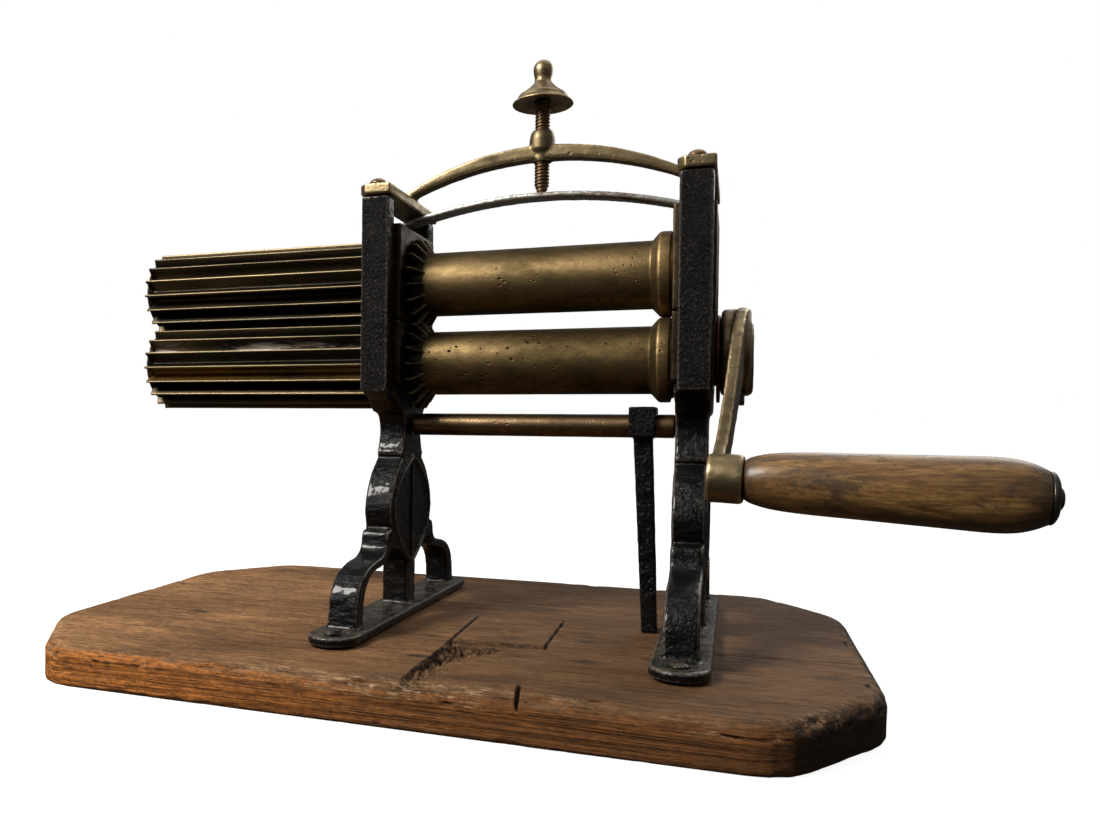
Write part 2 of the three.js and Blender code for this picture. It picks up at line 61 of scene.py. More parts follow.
# ---- camera, light and floor ----
def make_camera():
    yaw, pitch, roll = (math.radians(a) for a in (20.5, 0.84, 0.65))
    ahead = Vector((-math.sin(yaw) * math.cos(pitch), math.cos(yaw) * math.cos(pitch), -math.sin(pitch)))
    right = Vector((math.cos(yaw), math.sin(yaw), 0))
    up = right.cross(ahead)
    rolled_right = math.cos(roll) * right + math.sin(roll) * up
    rolled_up = math.cos(roll) * up - math.sin(roll) * right
    camera = bpy.data.objects.new("camera", bpy.data.cameras.new("camera"))
    turn = Matrix((rolled_right, rolled_up, -ahead)).transposed().to_4x4()
    camera.matrix_world = Matrix.Translation((0.16594, -0.55167, 0.13776)) @ turn
    camera.data.sensor_width = 36
    camera.data.lens = 30.25
    camera.data.shift_x = 0.1457
    camera.data.shift_y = 0.0316
    bpy.context.scene.collection.objects.link(camera)
    bpy.context.scene.camera = camera


def area_light(name, place, target, size, power, colour):
    light = bpy.data.lights.new(name, "AREA")
    light.shape = "RECTANGLE"
    light.size, light.size_y = size
    light.energy = power
    light.color = colour
    lamp = bpy.data.objects.new(name, light)
    lamp.location = place
    lamp.rotation_euler = (Vector(target) - Vector(place)).to_track_quat("-Z", "Y").to_euler()
    bpy.context.scene.collection.objects.link(lamp)


def make_sky():
    """White behind the object; in its reflections, dim at the horizon and bright overhead."""
    world = bpy.data.worlds.new("studio")
    world.use_nodes = True
    tree = world.node_tree
    background = tree.nodes["Background"]
    place = tree.nodes.new("ShaderNodeTexCoord")
    split = tree.nodes.new("ShaderNodeSeparateXYZ")
    ramp = tree.nodes.new("ShaderNodeValToRGB")
    seen = tree.nodes.new("ShaderNodeLightPath")
    mix = tree.nodes.new("ShaderNodeMix")
    mix.data_type = "RGBA"
    tree.links.new(place.outputs["Generated"], split.inputs["Vector"])
    tree.links.new(split.outputs["Z"], ramp.inputs["Fac"])
    row = ramp.color_ramp.elements
    row[0].position, row[0].color = 0.0, (0.045, 0.04, 0.036, 1)
    row[1].position, row[1].color = 0.85, (0.42, 0.415, 0.4, 1)
    middle = row.new(0.12)
    middle.color = (0.13, 0.128, 0.122, 1)
    tree.links.new(seen.outputs["Is Camera Ray"], mix.inputs[0])
    tree.links.new(ramp.outputs["Color"], mix.inputs[6])
    mix.inputs[7].default_value = (1, 1, 1, 1)
    tree.links.new(mix.outputs[2], background.inputs["Color"])
    bpy.context.scene.world = world


def make_floor():
    """A pale floor that doesn't light the object from below."""
    mesh = bpy.data.meshes.new("floor")
    half = 6
    corners = [(-half, -half, 0), (half, -half, 0), (half, half, 0), (-half, half, 0)]
    mesh.from_pydata(corners, [], [(0, 1, 2, 3)])
    floor = bpy.data.objects.new("floor", mesh)
    bpy.context.scene.collection.objects.link(floor)
    paint = bpy.data.materials.new("floor")
    paint.use_nodes = True
    shader = paint.node_tree.nodes["Principled BSDF"]
    shader.inputs["Base Color"].default_value = (0.3, 0.3, 0.3, 1)
    shader.inputs["Roughness"].default_value = 1.0
    shader.inputs["Specular IOR Level"].default_value = 0
    shader.inputs["Emission Color"].default_value = (1, 1, 1, 1)
    shader.inputs["Emission Strength"].default_value = 0.9
    mesh.materials.append(paint)
    floor.visible_diffuse = False
    floor.visible_glossy = False


def make_studio():
    bpy.context.scene.view_settings.view_transform = "Standard"
    make_sky()
    area_light("key", (-0.6, -0.68, 0.85), (-0.05, 0, 0.12), (0.4, 0.4), 21, (1, 0.965, 0.91))
    area_light("back", (0.5, 0.9, 0.75), (0, 0, 0.12), (0.7, 0.5), 3.2, (1, 0.98, 0.95))
    area_light("strip", (0.0, 0.25, 1.1), (0.0, 0, 0.2), (1.2, 0.35), 1.6, (1, 0.98, 0.96))
    make_floor()


# ---- material nodes ----
class Paint:
    """A Principled material and short ways to add the nodes that vary it."""

    def __init__(self, name, **constants):
        self.material = bpy.data.materials.new(name)
        self.material.use_nodes = True
        self.tree = self.material.node_tree
        self.shader = self.tree.nodes["Principled BSDF"]
        for key, value in constants.items():
            self.shader.inputs[key.replace("_", " ")].default_value = value
        self.place = self.tree.nodes.new("ShaderNodeTexCoord")

    def node(self, kind, settings=None, **inputs):
        made = self.tree.nodes.new(kind)
        for key, value in (settings or {}).items():
            setattr(made, key, value)
        for key, value in inputs.items():
            socket = made.inputs[int(key[1:])] if key[1:].isdigit() else made.inputs[key.replace("_", " ")]
            if isinstance(value, bpy.types.NodeSocket):
                self.tree.links.new(value, socket)
            else:
                socket.default_value = value
        return made

    def at(self, stretch=(1, 1, 1), turn=(0, 0, 0)):
        mapping = self.node("ShaderNodeMapping", Vector=self.place.outputs["Object"], Rotation=turn)
        mapping.inputs["Scale"].default_value = stretch
        return mapping.outputs["Vector"]

    def noise(self, scale, detail=4.0, stretch=(1, 1, 1), rough=0.55, bend=0.0, turn=(0, 0, 0)):
        made = self.node("ShaderNodeTexNoise", Vector=self.at(stretch, turn), Scale=scale, Detail=detail,
                         Roughness=rough, Distortion=bend)
        return made.outputs["Fac"]

    def spots(self, scale, size, stretch=(1, 1, 1)):
        """1 at the middle of scattered spots, 0 away from them."""
        made = self.node("ShaderNodeTexVoronoi", Vector=self.at(stretch), Scale=scale, Randomness=1.0)
        return self.span(made.outputs["Distance"], size, 0.0)

    def span(self, value, low, high, to_low=0.0, to_high=1.0):
        made = self.node("ShaderNodeMapRange", {"interpolation_type": "SMOOTHSTEP"}, Value=value)
        for key, number in (("From Min", low), ("From Max", high), ("To Min", to_low), ("To Max", to_high)):
            made.inputs[key].default_value = number
        return made.outputs["Result"]

    def math(self, kind, a, b=0.0):
        return self.node("ShaderNodeMath", {"operation": kind}, _0=a, _1=b).outputs[0]

    def ramp(self, value, *stops):
        made = self.node("ShaderNodeValToRGB", Fac=value)
        row = made.color_ramp.elements
        while len(row) < len(stops):
            row.new(0.5)
        for element, (place, colour) in zip(row, stops):
            element.position = place
            element.color = (*colour, 1)
        return made.outputs["Color"]

    def mix(self, share, a, b, kind="MIX"):
        made = self.node("ShaderNodeMix", {"data_type": "RGBA", "blend_type": kind})
        for socket, value in ((0, share), (6, a), (7, b)):
            if isinstance(value, bpy.types.NodeSocket):
                self.tree.links.new(value, made.inputs[socket])
            else:
                made.inputs[socket].default_value = value if socket == 0 else (*value, 1)
        return made.outputs[2]

    def attribute(self, name):
        return self.node("ShaderNodeAttribute", {"attribute_name": name}).outputs["Fac"]

    def axis(self, name, kind="Object"):
        parts = self.node("ShaderNodeSeparateXYZ", Vector=self.place.outputs[kind])
        return parts.outputs[name]

    def bump(self, height, depth, normal=None):
        """A bump whose full height is depth metres."""
        made = self.node("ShaderNodeBump", Strength=1.0, Distance=depth, Height=height)
        if normal is not None:
            self.tree.links.new(normal, made.inputs["Normal"])
        return made.outputs["Normal"]

    def use(self, **sockets):
        for key, value in sockets.items():
            self.tree.links.new(value, self.shader.inputs[key.replace("_", " ")])
        return self.material


def aged_brass(name, dark, middle, bright, rough=(0.3, 0.52), turned=0.0, worn=0.6, pits=1.0):
    """Brass under a brown patina; turned marks run round the X axis, and edges are rubbed bright."""
    p = Paint(name, Metallic=1.0)
    cloud = p.noise(24, 6, (0.45, 1, 1), 0.62, 0.4)
    grain = p.noise(150, 7, (0.6, 1, 1), 0.68)
    tone = p.math("ADD", p.math("MULTIPLY", cloud, 0.68), p.math("MULTIPLY", grain, 0.32))
    colour = p.ramp(tone, (0.36, dark), (0.5, middle), (0.66, bright))
    marks = p.noise(1, 3, (900, 5, 5), 0.7)
    colour = p.mix(p.math("MULTIPLY", p.span(marks, 0.45, 0.75), turned * 0.3), colour, dark)
    pit = p.math("MULTIPLY", p.spots(300, 0.26, (0.55, 1, 1)), p.span(p.noise(34, 3), 0.49, 0.57))
    speck = p.math("MULTIPLY", p.spots(330, 0.24), p.span(p.noise(60, 2), 0.5, 0.6))
    holes = p.math("MULTIPLY", p.math("MAXIMUM", pit, p.math("MULTIPLY", speck, 0.7)), pits)
    colour = p.mix(holes, colour, (0.012, 0.008, 0.004))
    edge = p.math("MULTIPLY", p.span(p.attribute("wear"), 0.15, 0.8), worn)
    edge = p.math("MULTIPLY", edge, p.span(grain, 0.3, 0.6, 0.4, 1.0))
    colour = p.mix(edge, colour, tuple(min(1, 1.7 * c) for c in bright))
    roughness = p.span(tone, 0.3, 0.7, rough[1], rough[0])
    normal = p.bump(marks, 0.00005 * turned) if turned else p.bump(cloud, 0.0004)
    normal = p.bump(grain, 0.00022, normal)
    normal = p.bump(p.math("SUBTRACT", 1.0, holes), 0.0003, normal)
    return p.use(Base_Color=colour, Roughness=roughness, Normal=normal)


def fluted_brass(name):
    """Near-black patina in the hollows and bright rubbed crests; shine is set along the crests."""
    p = Paint(name, Metallic=1.0)
    cloud = p.noise(14, 5, (0.35, 1, 1), 0.6)
    streak = p.noise(60, 6, (0.12, 1, 1), 0.6)
    tone = p.math("ADD", p.math("MULTIPLY", cloud, 0.5), p.math("MULTIPLY", streak, 0.5))
    hollow = p.ramp(tone, (0.36, (0.016, 0.014, 0.011)), (0.52, (0.042, 0.036, 0.026)),
                    (0.7, (0.12, 0.092, 0.054)))
    gold = p.math("MULTIPLY", p.attribute("gold"), p.span(p.noise(38, 5, (0.25, 1, 1)), 0.38, 0.55))
    hollow = p.mix(p.math("MULTIPLY", gold, 0.55), hollow, (0.55, 0.33, 0.07))
    dust = p.span(p.noise(150, 6, (0.15, 1, 1), 0.7), 0.5, 0.6, 0.0, 0.6)
    dust = p.math("MULTIPLY", p.attribute("deposit"), dust)
    hollow = p.mix(dust, hollow, (0.5, 0.45, 0.42))
    shine = p.math("MULTIPLY", p.attribute("shine"), p.span(streak, 0.3, 0.64, 0.25, 1.0))
    colour = p.mix(shine, hollow, (0.17, 0.13, 0.072))
    roughness = p.span(shine, 0.0, 1.0, 0.42, 0.46)
    roughness = p.math("MAXIMUM", roughness, p.math("MULTIPLY", dust, 0.8))
    normal = p.bump(p.noise(420, 5, (0.4, 1, 1)), 0.00015)
    normal = p.bump(cloud, 0.0004, normal)
    return p.use(Base_Color=colour, Roughness=roughness, Normal=normal)


def japanned_iron(name):
    """Black varnish over rough castings, dull and crackled above, glossy below, rubbed to brown on edges,
    with pale flecks painted as glints, mostly on the upper parts.
    """
    p = Paint(name, Specular_IOR_Level=0.12, Coat_Weight=0.27, Coat_Roughness=0.1)
    crackle = p.noise(620, 4, (1, 1, 1), 0.6)
    lump = p.noise(150, 4, (1, 1, 1), 0.6)
    high = p.span(p.axis("Z"), 0.13, 0.17)
    rust = p.span(p.noise(60, 6, (1, 1, 1), 0.7), 0.56, 0.72)
    colour = p.ramp(p.noise(30, 5), (0.35, (0.001, 0.001, 0.0012)), (0.7, (0.004, 0.004, 0.004)))
    colour = p.mix(p.math("MULTIPLY", rust, p.span(high, 0, 1, 0.15, 0.5)), colour, (0.026, 0.018, 0.014))
    dust = p.math("MULTIPLY", p.span(p.axis("Z"), 0.045, 0.026), p.span(p.axis("Z", "Normal"), 0.5, 0.9))
    dust = p.math("MULTIPLY", dust, p.span(p.noise(110, 6), 0.42, 0.6, 0.1, 0.75))
    colour = p.mix(dust, colour, (0.07, 0.055, 0.042))
    edge = p.math("MULTIPLY", p.span(p.attribute("wear"), 0.3, 0.9), p.span(crackle, 0.42, 0.6, 0.25, 1.0))
    colour = p.mix(edge, colour, (0.12, 0.1, 0.085))
    # Painted glints: pale flecks that stand in for light sparkling on the crackled varnish, mostly on the
    # upper parts.
    painted_glint = p.math("MULTIPLY", p.span(p.noise(1150, 3), 0.54, 0.66), p.span(high, 0, 1, 0.1, 1.0))
    colour = p.mix(painted_glint, colour, (0.042, 0.036, 0.035))
    gloss = p.span(p.noise(70, 4), 0.35, 0.65, 0.1, 0.22)
    roughness = p.math("ADD", gloss, p.math("MULTIPLY", high, 0.2))
    roughness = p.math("MAXIMUM", roughness, p.math("MULTIPLY", dust, 0.85))
    depth = p.math("MULTIPLY", crackle, p.span(high, 0, 1, 0.55, 3.0))
    normal = p.bump(lump, 0.002)
    normal = p.bump(depth, 0.0011, normal)
    return p.use(Base_Color=colour, Roughness=roughness, Normal=normal)


def old_steel(name, grey, rust_share):
    """Dull grey steel that is rusty in patches and on its edges."""
    p = Paint(name, Metallic=0.9)
    cloud = p.noise(60, 6, (0.4, 1, 1), 0.65)
    base = p.ramp(cloud, (0.35, tuple(c * 0.6 for c in grey)), (0.65, grey))
    patch = p.math("MULTIPLY", p.span(p.noise(85, 6, (0.35, 1, 1), 0.7), 0.52, 0.62), rust_share)
    edge = p.math("MULTIPLY", p.span(p.attribute("wear"), 0.3, 0.9), p.span(p.noise(40, 5), 0.42, 0.56))
    share = p.math("MINIMUM", p.math("ADD", patch, edge), 1.0)
    colour = p.mix(share, base, (0.055, 0.026, 0.014))
    roughness = p.span(share, 0, 1, 0.34, 0.8)
    normal = p.bump(p.noise(300, 6), 0.0003)
    return p.use(Base_Color=colour, Roughness=roughness, Normal=normal)


def board_wood(name):
    """Old softwood: grey-brown on top, orange-brown on its sides, with painted shade darkening it towards the
    crank end, on its crank-end face and in its deeper cuts.
    """
    p = Paint(name, Specular_IOR_Level=0.2)
    ring = p.noise(1, 3, (2.5, 34, 150), 0.5, 0.6)
    band = p.math("FRACT", p.math("MULTIPLY", ring, 13.0))
    late = p.math("MULTIPLY", p.span(band, 0.3, 0.9), p.span(band, 1.0, 0.93))
    fibre = p.noise(1, 7, (45, 620, 620), 0.78)
    speckle = p.noise(520, 6, (0.45, 1, 1), 0.8)
    line = p.span(p.noise(1, 4, (10, 620, 620), 0.6), 0.59, 0.66)
    blotch = p.noise(15, 7, (0.45, 1, 1), 0.68)
    side_tone = p.ramp(late, (0.0, (0.6, 0.21, 0.036)), (1.0, (0.36, 0.115, 0.018)))
    top_tone = p.ramp(blotch, (0.34, (0.17, 0.086, 0.036)), (0.52, (0.39, 0.2, 0.082)),
                      (0.68, (0.6, 0.32, 0.14)))
    top_tone = p.mix(p.math("MULTIPLY", late, 0.4), top_tone, (0.12, 0.068, 0.038))
    up = p.span(p.math("ADD", p.axis("Z", "Normal"), p.math("MULTIPLY", blotch, 0.3)), 0.55, 0.95)
    colour = p.mix(up, side_tone, top_tone)
    colour = p.mix(p.span(fibre, 0.38, 0.64, 0.0, 0.55), colour, (0.075, 0.034, 0.014))
    colour = p.mix(p.math("MULTIPLY", line, 0.5), colour, (0.045, 0.02, 0.009))
    colour = p.mix(p.span(speckle, 0.44, 0.6, 0.0, 0.6), colour, (0.05, 0.022, 0.009))
    pale = p.math("MULTIPLY", p.span(speckle, 0.46, 0.36), p.span(fibre, 0.5, 0.36, 0.0, 0.4))
    colour = p.mix(pale, colour, (0.5, 0.3, 0.16))
    grime = p.span(p.noise(20, 8, (0.4, 1, 1), 0.72), 0.53, 0.66, 0.0, 0.75)
    colour = p.mix(grime, colour, (0.05, 0.028, 0.016))
    # Painted shade: darker towards the crank end, standing in for the light falling off with distance.
    along = p.axis("X")
    colour = p.mix(p.span(along, -0.16, 0.1, 0.0, 0.7), colour, (0.06, 0.028, 0.011))
    # Painted shade: the face turned towards the crank end, away from the key light, is darkened.
    painted_end_shade = p.math("ADD", p.axis("X", "Normal"), p.math("MULTIPLY", blotch, 0.5))
    painted_end_shade = p.span(painted_end_shade, 0.4, 1.15, 0.0, 0.9)
    colour = p.mix(painted_end_shade, colour, (0.022, 0.013, 0.008))
    stain = p.math("MULTIPLY", p.spots(42, 0.3, (0.5, 1, 1)), p.span(p.noise(13, 4), 0.52, 0.6, 0.0, 0.85))
    colour = p.mix(stain, colour, (0.014, 0.01, 0.007))
    pit = p.math("MULTIPLY", p.spots(210, 0.22, (0.35, 1, 1)), p.span(p.noise(26, 4), 0.5, 0.62, 0.0, 0.9))
    colour = p.mix(pit, colour, (0.02, 0.012, 0.008))
    scuff = p.span(p.noise(1, 7, (90, 700, 700), 0.78), 0.5, 0.62)
    scuff = p.math("MULTIPLY", scuff, p.span(p.noise(24, 4, (0.5, 1, 1)), 0.5, 0.62))
    scuff = p.math("MULTIPLY", scuff, p.span(p.attribute("wear"), 0.45, 1.0, 0.0, 0.55))
    colour = p.mix(scuff, colour, (0.62, 0.43, 0.25))
    # Painted shade in the deeper cuts and tears, and the dark joint line at the patch, from the cut
    # attribute.
    colour = p.mix(p.attribute("cut"), colour, (0.022, 0.012, 0.007))
    roughness = p.span(fibre, 0.3, 0.7, 0.5, 0.8)
    normal = p.bump(fibre, -0.0004)
    normal = p.bump(p.math("MAXIMUM", line, pit), -0.0007, normal)
    normal = p.bump(late, -0.0003, normal)
    normal = p.bump(speckle, 0.0006, normal)
    return p.use(Base_Color=colour, Roughness=roughness, Normal=normal)


def grip_wood(name):
    """Polished hardwood with long grain, small dark dents, and grime at both ends."""
    p = Paint(name, Coat_Weight=0.08, Coat_Roughness=0.25, Specular_IOR_Level=0.35)
    turn = tuple(-a for a in GRIP_ALONG.to_track_quat("X", "Z").to_euler())
    grain = p.noise(1, 6, (7, 170, 170), 0.68, 0.8, turn)
    fibre = p.noise(1, 7, (75, 850, 850), 0.76, 0.0, turn)
    colour = p.ramp(grain, (0.34, (0.085, 0.042, 0.014)), (0.5, (0.17, 0.09, 0.03)),
                    (0.66, (0.3, 0.17, 0.062)))
    colour = p.mix(p.span(fibre, 0.4, 0.62, 0.0, 0.65), colour, (0.045, 0.022, 0.009))
    stain = p.span(p.noise(38, 8, (0.6, 1, 1), 0.78), 0.53, 0.64, 0.0, 0.75)
    colour = p.mix(stain, colour, (0.022, 0.013, 0.008))
    dent = p.math("MULTIPLY", p.spots(48, 0.16, (0.5, 1, 1)), p.span(p.noise(20, 3), 0.48, 0.58))
    colour = p.mix(dent, colour, (0.012, 0.008, 0.005))
    colour = p.mix(p.span(p.attribute("shine"), 0, 1, 0.0, 0.75), colour, (0.03, 0.018, 0.01))
    roughness = p.span(stain, 0, 0.85, 0.34, 0.6)
    normal = p.bump(fibre, 0.00012)
    normal = p.bump(p.noise(30, 4), 0.0008, normal)
    normal = p.bump(p.math("SUBTRACT", 1.0, dent), 0.0008, normal)
    return p.use(Base_Color=colour, Roughness=roughness, Normal=normal)


def make_materials():
    gilt = ((0.065, 0.05, 0.028), (0.19, 0.143, 0.078), (0.39, 0.3, 0.17))
    olive = ((0.04, 0.028, 0.012), (0.11, 0.076, 0.034), (0.25, 0.17, 0.08))
    brown = ((0.035, 0.022, 0.012), (0.125, 0.08, 0.042), (0.28, 0.19, 0.1))
    black = ((0.014, 0.011, 0.008), (0.04, 0.03, 0.019), (0.11, 0.08, 0.045))
    red = ((0.03, 0.012, 0.008), (0.09, 0.034, 0.022), (0.16, 0.07, 0.045))
    return {
        "roller": aged_brass("roller_brass", *olive, rough=(0.43, 0.6), turned=0.35, pits=1.5),
        "brass": aged_brass("cast_brass", *gilt, worn=0.8, pits=0.6),
        "rod": aged_brass("rod_brass", *brown, turned=0.3, pits=0.5),
        "dark_brass": aged_brass("dark_brass", *brown, worn=1.0, pits=0.5),
        "saddle": aged_brass("saddle_brass", *black, rough=(0.4, 0.6), worn=0.8, pits=0.3),
        "washer": aged_brass("red_washer", *red, pits=0.3),
        "flute": fluted_brass("fluted_brass"),
        "iron": japanned_iron("japanned_iron"),
        "leaf": old_steel("leaf_steel", (0.62, 0.6, 0.56), 0.75),
        "dark_steel": old_steel("dark_steel", (0.09, 0.08, 0.07), 0.5),
        "board": board_wood("board_wood"),
        "grip": grip_wood("grip_wood"),
    }


# ---- mesh building ----
def new_object(name, mesh):
    made = bpy.data.objects.new(name, mesh)
    bpy.context.scene.collection.objects.link(made)
    return made


def set_attribute(mesh, name, values):
    layer = mesh.attributes.get(name) or mesh.attributes.new(name, "FLOAT", "POINT")
    layer.data.foreach_set("value", np.clip(values, 0, 1).astype(np.float32))


def points_of(mesh):
    points = np.empty(len(mesh.vertices) * 3)
    mesh.vertices.foreach_get("co", points)
    return points.reshape(-1, 3)


def normals_of(mesh):
    normals = np.empty(len(mesh.vertices) * 3)
    mesh.vertex_normals.foreach_get("vector", normals)
    return normals.reshape(-1, 3)


def relaxed(mesh, points, rounds):
    """The points after rounds of averaging with their neighbours."""
    edges = np.empty(len(mesh.edges) * 2, int)
    mesh.edges.foreach_get("vertices", edges)
    a, b = edges.reshape(-1, 2).T
    count = np.bincount(np.concatenate((a, b)), minlength=len(points))[:, None]
    for _ in range(rounds):
        total = np.stack([np.bincount(a, points[b, i], len(points))
                          + np.bincount(b, points[a, i], len(points)) for i in range(3)], 1)
        points = 0.45 * points + 0.55 * total / np.maximum(count, 1)
    return points


def smooth(mesh):
    mesh.polygons.foreach_set("use_smooth", [True] * len(mesh.polygons))
    mesh.update()


def roughen(mesh, sizes):
    """Moves points along their normals by noise; sizes lists (waves per metre, height)."""
    points, normals = points_of(mesh), normals_of(mesh)
    shift = np.zeros(len(points))
    for wave, height in sizes:
        shift += height * np.array([noise.noise(Vector(q) * wave) for q in points])
    mesh.vertices.foreach_set("co", (points + normals * shift[:, None]).ravel())
    mesh.update()


def voxelled(source, voxel):
    modifier = source.modifiers.new("remesh", "REMESH")
    modifier.mode = "VOXEL"
    modifier.voxel_size = voxel
    bpy.context.view_layer.update()
    mesh = bpy.data.meshes.new_from_object(source.evaluated_get(bpy.context.evaluated_depsgraph_get()))
    source.modifiers.remove(modifier)
    return mesh


def recast(name, node, voxel, rounds, sizes=()):
    """A copy of a CAD node with soft edges and a fine surface. Its wear attribute is high on convex edges."""
    coarse = new_object(name + "_coarse", frame["nodes"][node].data.copy())
    mesh = voxelled(coarse, voxel)
    bpy.data.objects.remove(coarse)
    mesh.materials.clear()
    points, normals = points_of(mesh), normals_of(mesh)
    eased = relaxed(mesh, points, rounds)
    drawn_in = ((points - eased) * normals).sum(1)
    mesh.vertices.foreach_set("co", eased.ravel())
    mesh.update()
    if sizes:
        roughen(mesh, sizes)
    wear = relaxed(mesh, np.repeat(drawn_in[:, None], 3, 1), 2)[:, 0]
    set_attribute(mesh, "wear", wear / (0.45 * voxel))
    smooth(mesh)
    return new_object(name, mesh)


def loft(name, rings):
    """A closed mesh through rings of equal length; the ends are closed by fans."""
    count = len(rings[0])
    points = [p for ring in rings for p in ring]
    faces = []
    for i in range(len(rings) - 1):
        for k in range(count):
            n = (k + 1) % count
            faces.append((i * count + k, i * count + n, (i + 1) * count + n, (i + 1) * count + k))
    for ring, flip in ((0, True), (len(rings) - 1, False)):
        middle = len(points)
        points.append(sum((Vector(p) for p in rings[ring]), Vector()) / count)
        for k in range(count):
            a, b = ring * count + k, ring * count + (k + 1) % count
            faces.append((b, a, middle) if flip else (a, b, middle))
    mesh = bpy.data.meshes.new(name)
    mesh.from_pydata([tuple(p) for p in points], [], faces)
    tool = bmesh.new()
    tool.from_mesh(mesh)
    bmesh.ops.recalc_face_normals(tool, faces=tool.faces)
    tool.to_mesh(mesh)
    tool.free()
    smooth(mesh)
    return new_object(name, mesh)


def rounded(profile, radius=0.0006, steps=3):
    """The profile with each inner corner turned into a short curve, so that edges catch the light."""
    eased = [Vector(profile[0])]
    for before, corner, after in zip(profile, profile[1:], profile[2:]):
        before, corner, after = Vector(before), Vector(corner), Vector(after)
        reach = min(radius, 0.45 * (corner - before).length, 0.45 * (after - corner).length)
        a = corner + (before - corner).normalized() * reach
        b = corner + (after - corner).normalized() * reach
        for i in range(steps + 1):
            t = i / steps
            eased.append(a * (1 - t) ** 2 + corner * (2 * t * (1 - t)) + b * t ** 2)
    eased.append(Vector(profile[-1]))
    return eased


def flowing(profile, steps=6):
    """A smooth curve through the profile's points."""
    points = [Vector(p) for p in profile]
    points = [points[0]] + points + [points[-1]]
    curve = []
    for a, b, c, d in zip(points, points[1:], points[2:], points[3:]):
        for i in range(steps):
            t = i / steps
            curve.append(0.5 * (2 * b + (c - a) * t + (2 * a - 5 * b + 4 * c - d) * t ** 2
                                + (3 * b - a - 3 * c + d) * t ** 3))
    return curve + [points[-1]]


def turned(name, profile, origin, axis, sides=96):
    """A lathe-turned piece; the profile is (distance along the axis, radius)."""
    axis = Vector(axis).normalized()
    side = axis.orthogonal().normalized()
    other = axis.cross(side)
    rings = []
    for along, radius in profile:
        centre = Vector(origin) + axis * along
        angles = [2 * math.pi * k / sides for k in range(sides)]
        radius = max(radius, 1e-5)
        rings.append([centre + (side * math.cos(a) + other * math.sin(a)) * radius for a in angles])
    return loft(name, rings)


def cut(piece, cutter):
    modifier = piece.modifiers.new("cut", "BOOLEAN")
    modifier.operation = "DIFFERENCE"
    modifier.solver = "EXACT"
    modifier.object = cutter
    bpy.context.view_layer.update()
    mesh = bpy.data.meshes.new_from_object(piece.evaluated_get(bpy.context.evaluated_depsgraph_get()))
    piece.modifiers.clear()
    piece.data = mesh
    bpy.data.objects.remove(cutter)


def block(name, low, high):
    mesh = bpy.data.meshes.new(name)
    tool = bmesh.new()
    bmesh.ops.create_cube(tool, size=1)
    middle = (Vector(low) + Vector(high)) / 2
    size = Vector(high) - Vector(low)
    placed = Matrix.Translation(middle) @ Matrix.Diagonal((*size, 1))
    bmesh.ops.transform(tool, matrix=placed, verts=tool.verts)
    tool.to_mesh(mesh)
    tool.free()
    return new_object(name, mesh)


def place_piece(piece, body, slot, material, *nodes):
    piece.data.materials.clear()
    piece.data.materials.append(material)
    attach(piece, body)
    if nodes:
        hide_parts(*nodes)
    return piece


# ---- rollers ----
TEETH = 18
CREST_DEG = {"lower": -4, "upper": -6}
CREST, ROOT, CREST_WIDTH = 28.65 * MM, 19.7 * MM, 1.1 * MM
HOLLOW = 3.5            # the higher, the squarer the hollows between the crests
END_PLATE, END_THICK = 23.6 * MM, 1.2 * MM
DRUM, COLLAR, END_RING, JOURNAL, BORE = 19.5 * MM, 24.3 * MM, 22 * MM, 10.5 * MM, 7.5 * MM


def tooth_rows():
    """Angles round the roller from the first crest, and how deep into a hollow each one lies, from 0 to 1."""
    pitch = 2 * math.pi / TEETH
    crest_half = CREST_WIDTH / 2 / CREST
    hollow_half = pitch / 2 - crest_half
    angles, depths = [], []
    for tooth in range(TEETH):
        for t in (-0.9, -0.3, 0.3, 0.9):
            angles.append(tooth * pitch + t * crest_half)
            depths.append(0.012 if abs(t) > 0.5 else 0.0)
        for t in np.linspace(-0.97, 0.97, 17):
            angles.append((tooth + 0.5) * pitch + t * hollow_half)
            depths.append(1 - abs(t) ** HOLLOW)
    return np.array(angles), np.array(depths)


